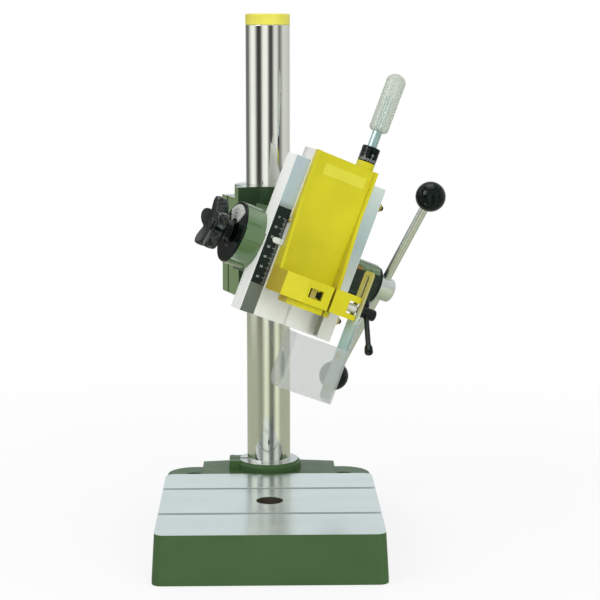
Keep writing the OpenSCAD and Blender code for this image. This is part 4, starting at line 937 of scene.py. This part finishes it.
def dial_print(place, radius, bottom):
    """Forty marks, each fifth one taller, and a figure at each quarter turn."""
    count, tall, short = 40, 4.4 * MM, 2.6 * MM
    half, sunk, lift, start = 0.16 * MM, 0.1 * MM, 0.06 * MM, bottom + 0.9 * MM
    figure_z, figure_size = bottom + 7.2 * MM, 2.6 * MM
    bm = bmesh.new()
    for i in range(count):
        turned = place @ Matrix.Rotation(2 * math.pi * i / count, 4, "Z")
        top = start + (tall if i % 5 == 0 else short)
        slab(bm, (radius - sunk, -half, start), (radius + lift, half, top), turned)
        if i % 10 == 0:
            at = turned @ basis((radius, 0, figure_z), X, Y)
            figures(bm, str(i // 2), figure_size, at, lift)
    piece("dial_print", bm, PRINT_WHITE, "spindle")


def spindle(place):
    """Thread below the dial's top and inside the grip, and a fuller shank between them."""
    low, high = head_box("feed_spindle")
    dial_top, grip_foot = head_box("feed_dial")[1].z, head_box("feed_grip")[0].z
    thread, shank = 3 * MM, 4.6 * MM
    profile = [(0, low.z), (thread, low.z), (thread, dial_top), (shank, dial_top), (shank, grip_foot),
               (thread, grip_foot), (thread, high.z), (0, high.z)]
    stands_for("feed_spindle_form", spun(profile, place, segments=56), SHANK, "feed_spindle")


def grip(place):
    """A round-footed handle with a low dome."""
    low, high = head_box("feed_grip")
    radius, foot, dome, steps = 9.6 * MM, 4 * MM, 8 * MM, 16
    angles = [math.pi / 2 * i / steps for i in range(steps + 1)]
    crown = [(radius * math.cos(a), high.z - dome + dome * math.sin(a)) for a in angles]
    profile = [(0, low.z)] + arc(radius - foot, low.z + foot, foot, -90, 0, steps=8) + crown
    stands_for("feed_grip_form", spun(profile, place, segments=72), CLEAR_GRIP, "feed_grip")


# Feed lever

def lever():
    """What is on the right end of the shaft."""
    edge, sides = 0.6 * MM, 96
    ring = disc("stop_ring", SHAFT, edge, sides)
    bmesh.ops.recalc_face_normals(ring, faces=ring.faces)
    # The ring's faces under its lit top get painted shade
    for face in ring.faces:
        face.material_index = below(face)
    stands_for("stop_ring_form", ring, [GLOSS_GREEN, PAINTED_DEEP_SHADE_GREEN], "stop_ring")
    dark = disc("friction_disc", SHAFT, edge, sides)
    stands_for("friction_disc_form", dark, BLACK_OXIDE, "friction_disc")
    place, _, length = crosswise("lever_hub", SHAFT)
    radius, proud, crown = 12 * MM, 1.5 * MM, 2.2 * MM
    hub = spun(drum(radius, 0, length + proud, crown, foot=edge), place, sides)
    stands_for("lever_hub_form", hub, SATIN, "lever_hub")
    rod_and_balls(axis_middle("lever_hub", SHAFT))


def rod_and_balls(middle):
    """The rod through the hub, with a ball on each end that is cut flat where the rod enters."""
    ends = [TO_HEAD @ v.co - middle for v in frame["nodes"]["lever_rod"].data.vertices]
    upper = [p for p in ends if p.z > 0]
    direction = sum(upper, Vector()) / len(upper)
    place, half = HEAD @ basis(middle, direction), direction.length
    radius, edge, ball, flat = 4.5 * MM, 0.5 * MM, 15 * MM, 6 * MM
    rod = spun(drum(radius, -half, half, edge), place, segments=48)
    stands_for("lever_rod_form", rod, SATIN, "lever_rod")
    cut = math.acos(flat / ball)
    profile = [(0, -ball * math.sin(cut))] + arc(0, 0, ball, -math.degrees(cut), 90, steps=40)
    bm = bmesh.new()
    for sign, turn in ((-1, Matrix.Rotation(math.pi, 4, "X")), (1, WORLD)):
        lathe(bm, profile, place @ Matrix.Translation((0, 0, sign * half)) @ turn, segments=72)
    stands_for("lever_balls_form", bm, BLACK, "lever_balls")


# Nodes that keep their CAD shape and get a finish

PLAIN_FINISH = [
    (STEEL, ["base_clamp_screw", "bracket_clamp_screws", "swivel_lock_screw", "guide_screws",
             "return_spring", "lock_stud", "rack_screws", "pinion_shaft", "feed_pinion"]),
    (GROUND, ["rack"]),
    (BRONZE, ["shaft_bushes", "stop_pin", "fine_feed_nut"]),
    (BLACK_OXIDE, ["ring_grub", "hub_screw"]),
]


def finish_plain_nodes():
    """Gives each of these nodes its one material."""
    for material, nodes in PLAIN_FINISH:
        for node in nodes:
            slots = frame["nodes"][node].data.materials
            slots.clear()
            slots.append(material)


# Studio

def camera():
    """A long lens in front of the stand, turned down and to the right by these degrees."""
    sensor_mm, focal_mm = 36, 100.97
    place, down, right = (-0.0078, -1.7129, 0.4907), 8.977, 1.351
    lens = bpy.data.cameras.new("camera")
    lens.sensor_fit, lens.sensor_width, lens.lens = "HORIZONTAL", sensor_mm, focal_mm
    seat = bpy.data.objects.new("camera", lens)
    seat.location = place
    seat.rotation_euler = (math.radians(90 - down), 0, math.radians(-right))
    bpy.context.scene.collection.objects.link(seat)
    bpy.context.scene.camera = seat


def seen_by(tree, *kinds):
    """1 for a ray of one of these kinds, and 0 for any other."""
    path = add(tree, "LightPath")
    seen = path.outputs[kinds[0]]
    for kind in kinds[1:]:
        seen = combine(tree, "MAXIMUM", seen, path.outputs[kind])
    return seen


def floor():
    """A white floor that keeps a faint shadow and fades into the white background."""
    reach, near, near_glow = 0.9, 0.2, 0.82
    middle, grey = (0, -0.1, -0.5 * MM), (0.86, 0.86, 0.86, 1)
    bm = bmesh.new()
    bmesh.ops.create_circle(bm, cap_ends=True, radius=reach, segments=96)
    mesh = bpy.data.meshes.new("floor")
    bm.to_mesh(mesh)
    bm.free()
    made = bpy.data.objects.new("floor", mesh)
    made.location = middle
    bpy.context.scene.collection.objects.link(made)
    material, tree, shader = new_material("floor_white", Base_Color=grey, Roughness=0.8)
    seen = seen_by(tree, "Is Camera Ray", "Is Glossy Ray", "Is Transmission Ray")
    away = add(tree, "VectorMath", {0: add(tree, "TexCoord").outputs["Object"]}, operation="LENGTH")
    glow = span(tree, away.outputs["Value"], near_glow, 1.0, near, reach)
    white = add(tree, "Emission", {"Color": (1, 1, 1, 1), "Strength": 1.0})
    share = combine(tree, "MULTIPLY", seen, glow)
    mix = add(tree, "MixShader", {0: share, 1: shader.outputs[0], 2: white.outputs[0]})
    tree.links.new(mix.outputs[0], tree.nodes["Material Output"].inputs["Surface"])
    mesh.materials.append(material)
    made.visible_glossy = False


# Brightness by bearing from the front, in degrees: panels and gaps at eye level, and a dim likeness below
STUDIO_BANDS = [
    (-180, 0.14), (-119, 0.17), (-108, 0.50), (-98, 0.80), (-90, 0.94), (-75, 0.92), (-68, 0.66),
    (-61, 0.26), (-55, 0.06), (-43, 0.04), (-37, 0.11), (-31, 0.44), (-26, 0.82), (-9, 0.97),
    (-5, 0.92), (-1, 0.69), (4, 0.32), (9, 0.08), (18, 0.05), (24, 0.15), (29, 0.48), (34, 0.70),
    (42, 0.78), (49, 0.69), (55, 0.42), (61, 0.18), (67, 0.20), (74, 0.37), (81, 0.58), (93, 0.66),
    (127, 0.58), (180, 0.47),
]
LOW_BANDS = [
    (-180, 0.42), (-62, 0.39), (-54, 0.33), (-36, 0.28), (-27, 0.44), (-21, 0.63), (-11, 0.77),
    (-1, 0.58), (4, 0.37), (9, 0.20), (19, 0.18), (25, 0.24), (30, 0.38), (36, 0.62), (46, 0.77),
    (57, 0.56), (67, 0.39), (180, 0.42),
]
# Brightness overhead by height, from the tops of the panels to straight up
HIGH_BANDS = [
    (0.36, 0.9), (0.46, 0.88), (0.50, 0.3), (0.58, 0.2), (0.62, 0.8), (0.72, 0.9), (0.76, 0.35),
    (0.84, 0.25), (0.88, 0.85), (1.0, 0.95),
]


def banded(tree, factor, bands, tint, start=0, end=1):
    """A ramp of (place, brightness) bands between start and end, in one tint."""
    stops = [((place - start) / (end - start), tone(tint, bright)) for place, bright in bands]
    return ramp(tree, factor, stops)


def panels(tree):
    """What metal sees round the set: bright panels and dark gaps, with a plain wall at the back."""
    eye_tint, low_tint, high_tint = (1, 1.02, 0.95), (1, 1.06, 0.80), (0.97, 1, 1)
    wall = (0.80, 0.84, 0.86, 1)
    panel_feet, panel_tops, wall_edge = (-0.19, -0.10), (0.32, 0.4), (0.86, 0.95)
    way = add(tree, "SeparateXYZ", {"Vector": add(tree, "TexCoord").outputs["Generated"]}).outputs
    turn = combine(tree, "ARCTAN2", way["X"], combine(tree, "MULTIPLY", way["Y"], -1.0))
    bearing = rise(tree, turn, -math.pi, math.pi)
    level = banded(tree, bearing, STUDIO_BANDS, eye_tint, -180, 180)
    under = banded(tree, bearing, LOW_BANDS, low_tint, -180, 180)
    over = banded(tree, way["Z"], HIGH_BANDS, high_tint)
    seen = mixed(tree, rise(tree, way["Z"], *panel_feet), under, level)
    seen = mixed(tree, rise(tree, way["Z"], *panel_tops), seen, over)
    return mixed(tree, rise(tree, way["Y"], *wall_edge), seen, wall)


def world():
    """White to the camera, panels to metal and an even light to the rest."""
    studio = bpy.data.worlds.new("studio")
    bpy.context.scene.world = studio
    studio.use_nodes = True
    tree = studio.node_tree
    tree.nodes.clear()
    glossy = add(tree, "Background", {"Color": panels(tree), "Strength": 1.0}).outputs[0]
    ambient = add(tree, "Background", {"Color": (0.97, 0.99, 1, 1), "Strength": 0.55}).outputs[0]
    white = add(tree, "Background", {"Color": (1, 1, 1, 1), "Strength": 1.0}).outputs[0]
    light = add(tree, "MixShader", {0: seen_by(tree, "Is Glossy Ray"), 1: ambient, 2: glossy}).outputs[0]
    seen = seen_by(tree, "Is Camera Ray", "Is Transmission Ray")
    both = add(tree, "MixShader", {0: seen, 1: light, 2: white}).outputs[0]
    add(tree, "OutputWorld", {"Surface": both}).is_active_output = True


def soft_light(name, place, size, power, glossy):
    """A soft box aimed at the middle of the stand."""
    aim = Vector((0, -0.08, 0.24))
    lamp = bpy.data.lights.new(name, "AREA")
    lamp.shape, lamp.size, lamp.size_y = "RECTANGLE", size[0], size[1]
    lamp.energy = power
    made = bpy.data.objects.new(name, lamp)
    made.location = place
    made.rotation_euler = (aim - Vector(place)).to_track_quat("-Z", "Y").to_euler()
    made.visible_glossy = glossy
    bpy.context.scene.collection.objects.link(made)


def lights():
    """A key from the left, a fill from the right and a soft light from above."""
    soft_light("key", place=(-1.5, -1.1, 1.5), size=(0.9, 1.1), power=15, glossy=True)
    soft_light("fill", place=(1.0, -1.9, 0.5), size=(1.0, 1.0), power=18, glossy=False)
    soft_light("top", place=(0.0, 0.1, 2.0), size=(1.2, 1.2), power=9, glossy=True)


base()
column()
castings()
spring_drum()
knob()
guide()
holder()
clamp()
guard()
fine_feed()
lever()
finish_plain_nodes()
camera()
floor()
world()
lights()
bpy.context.scene.view_settings.view_transform = "Standard"
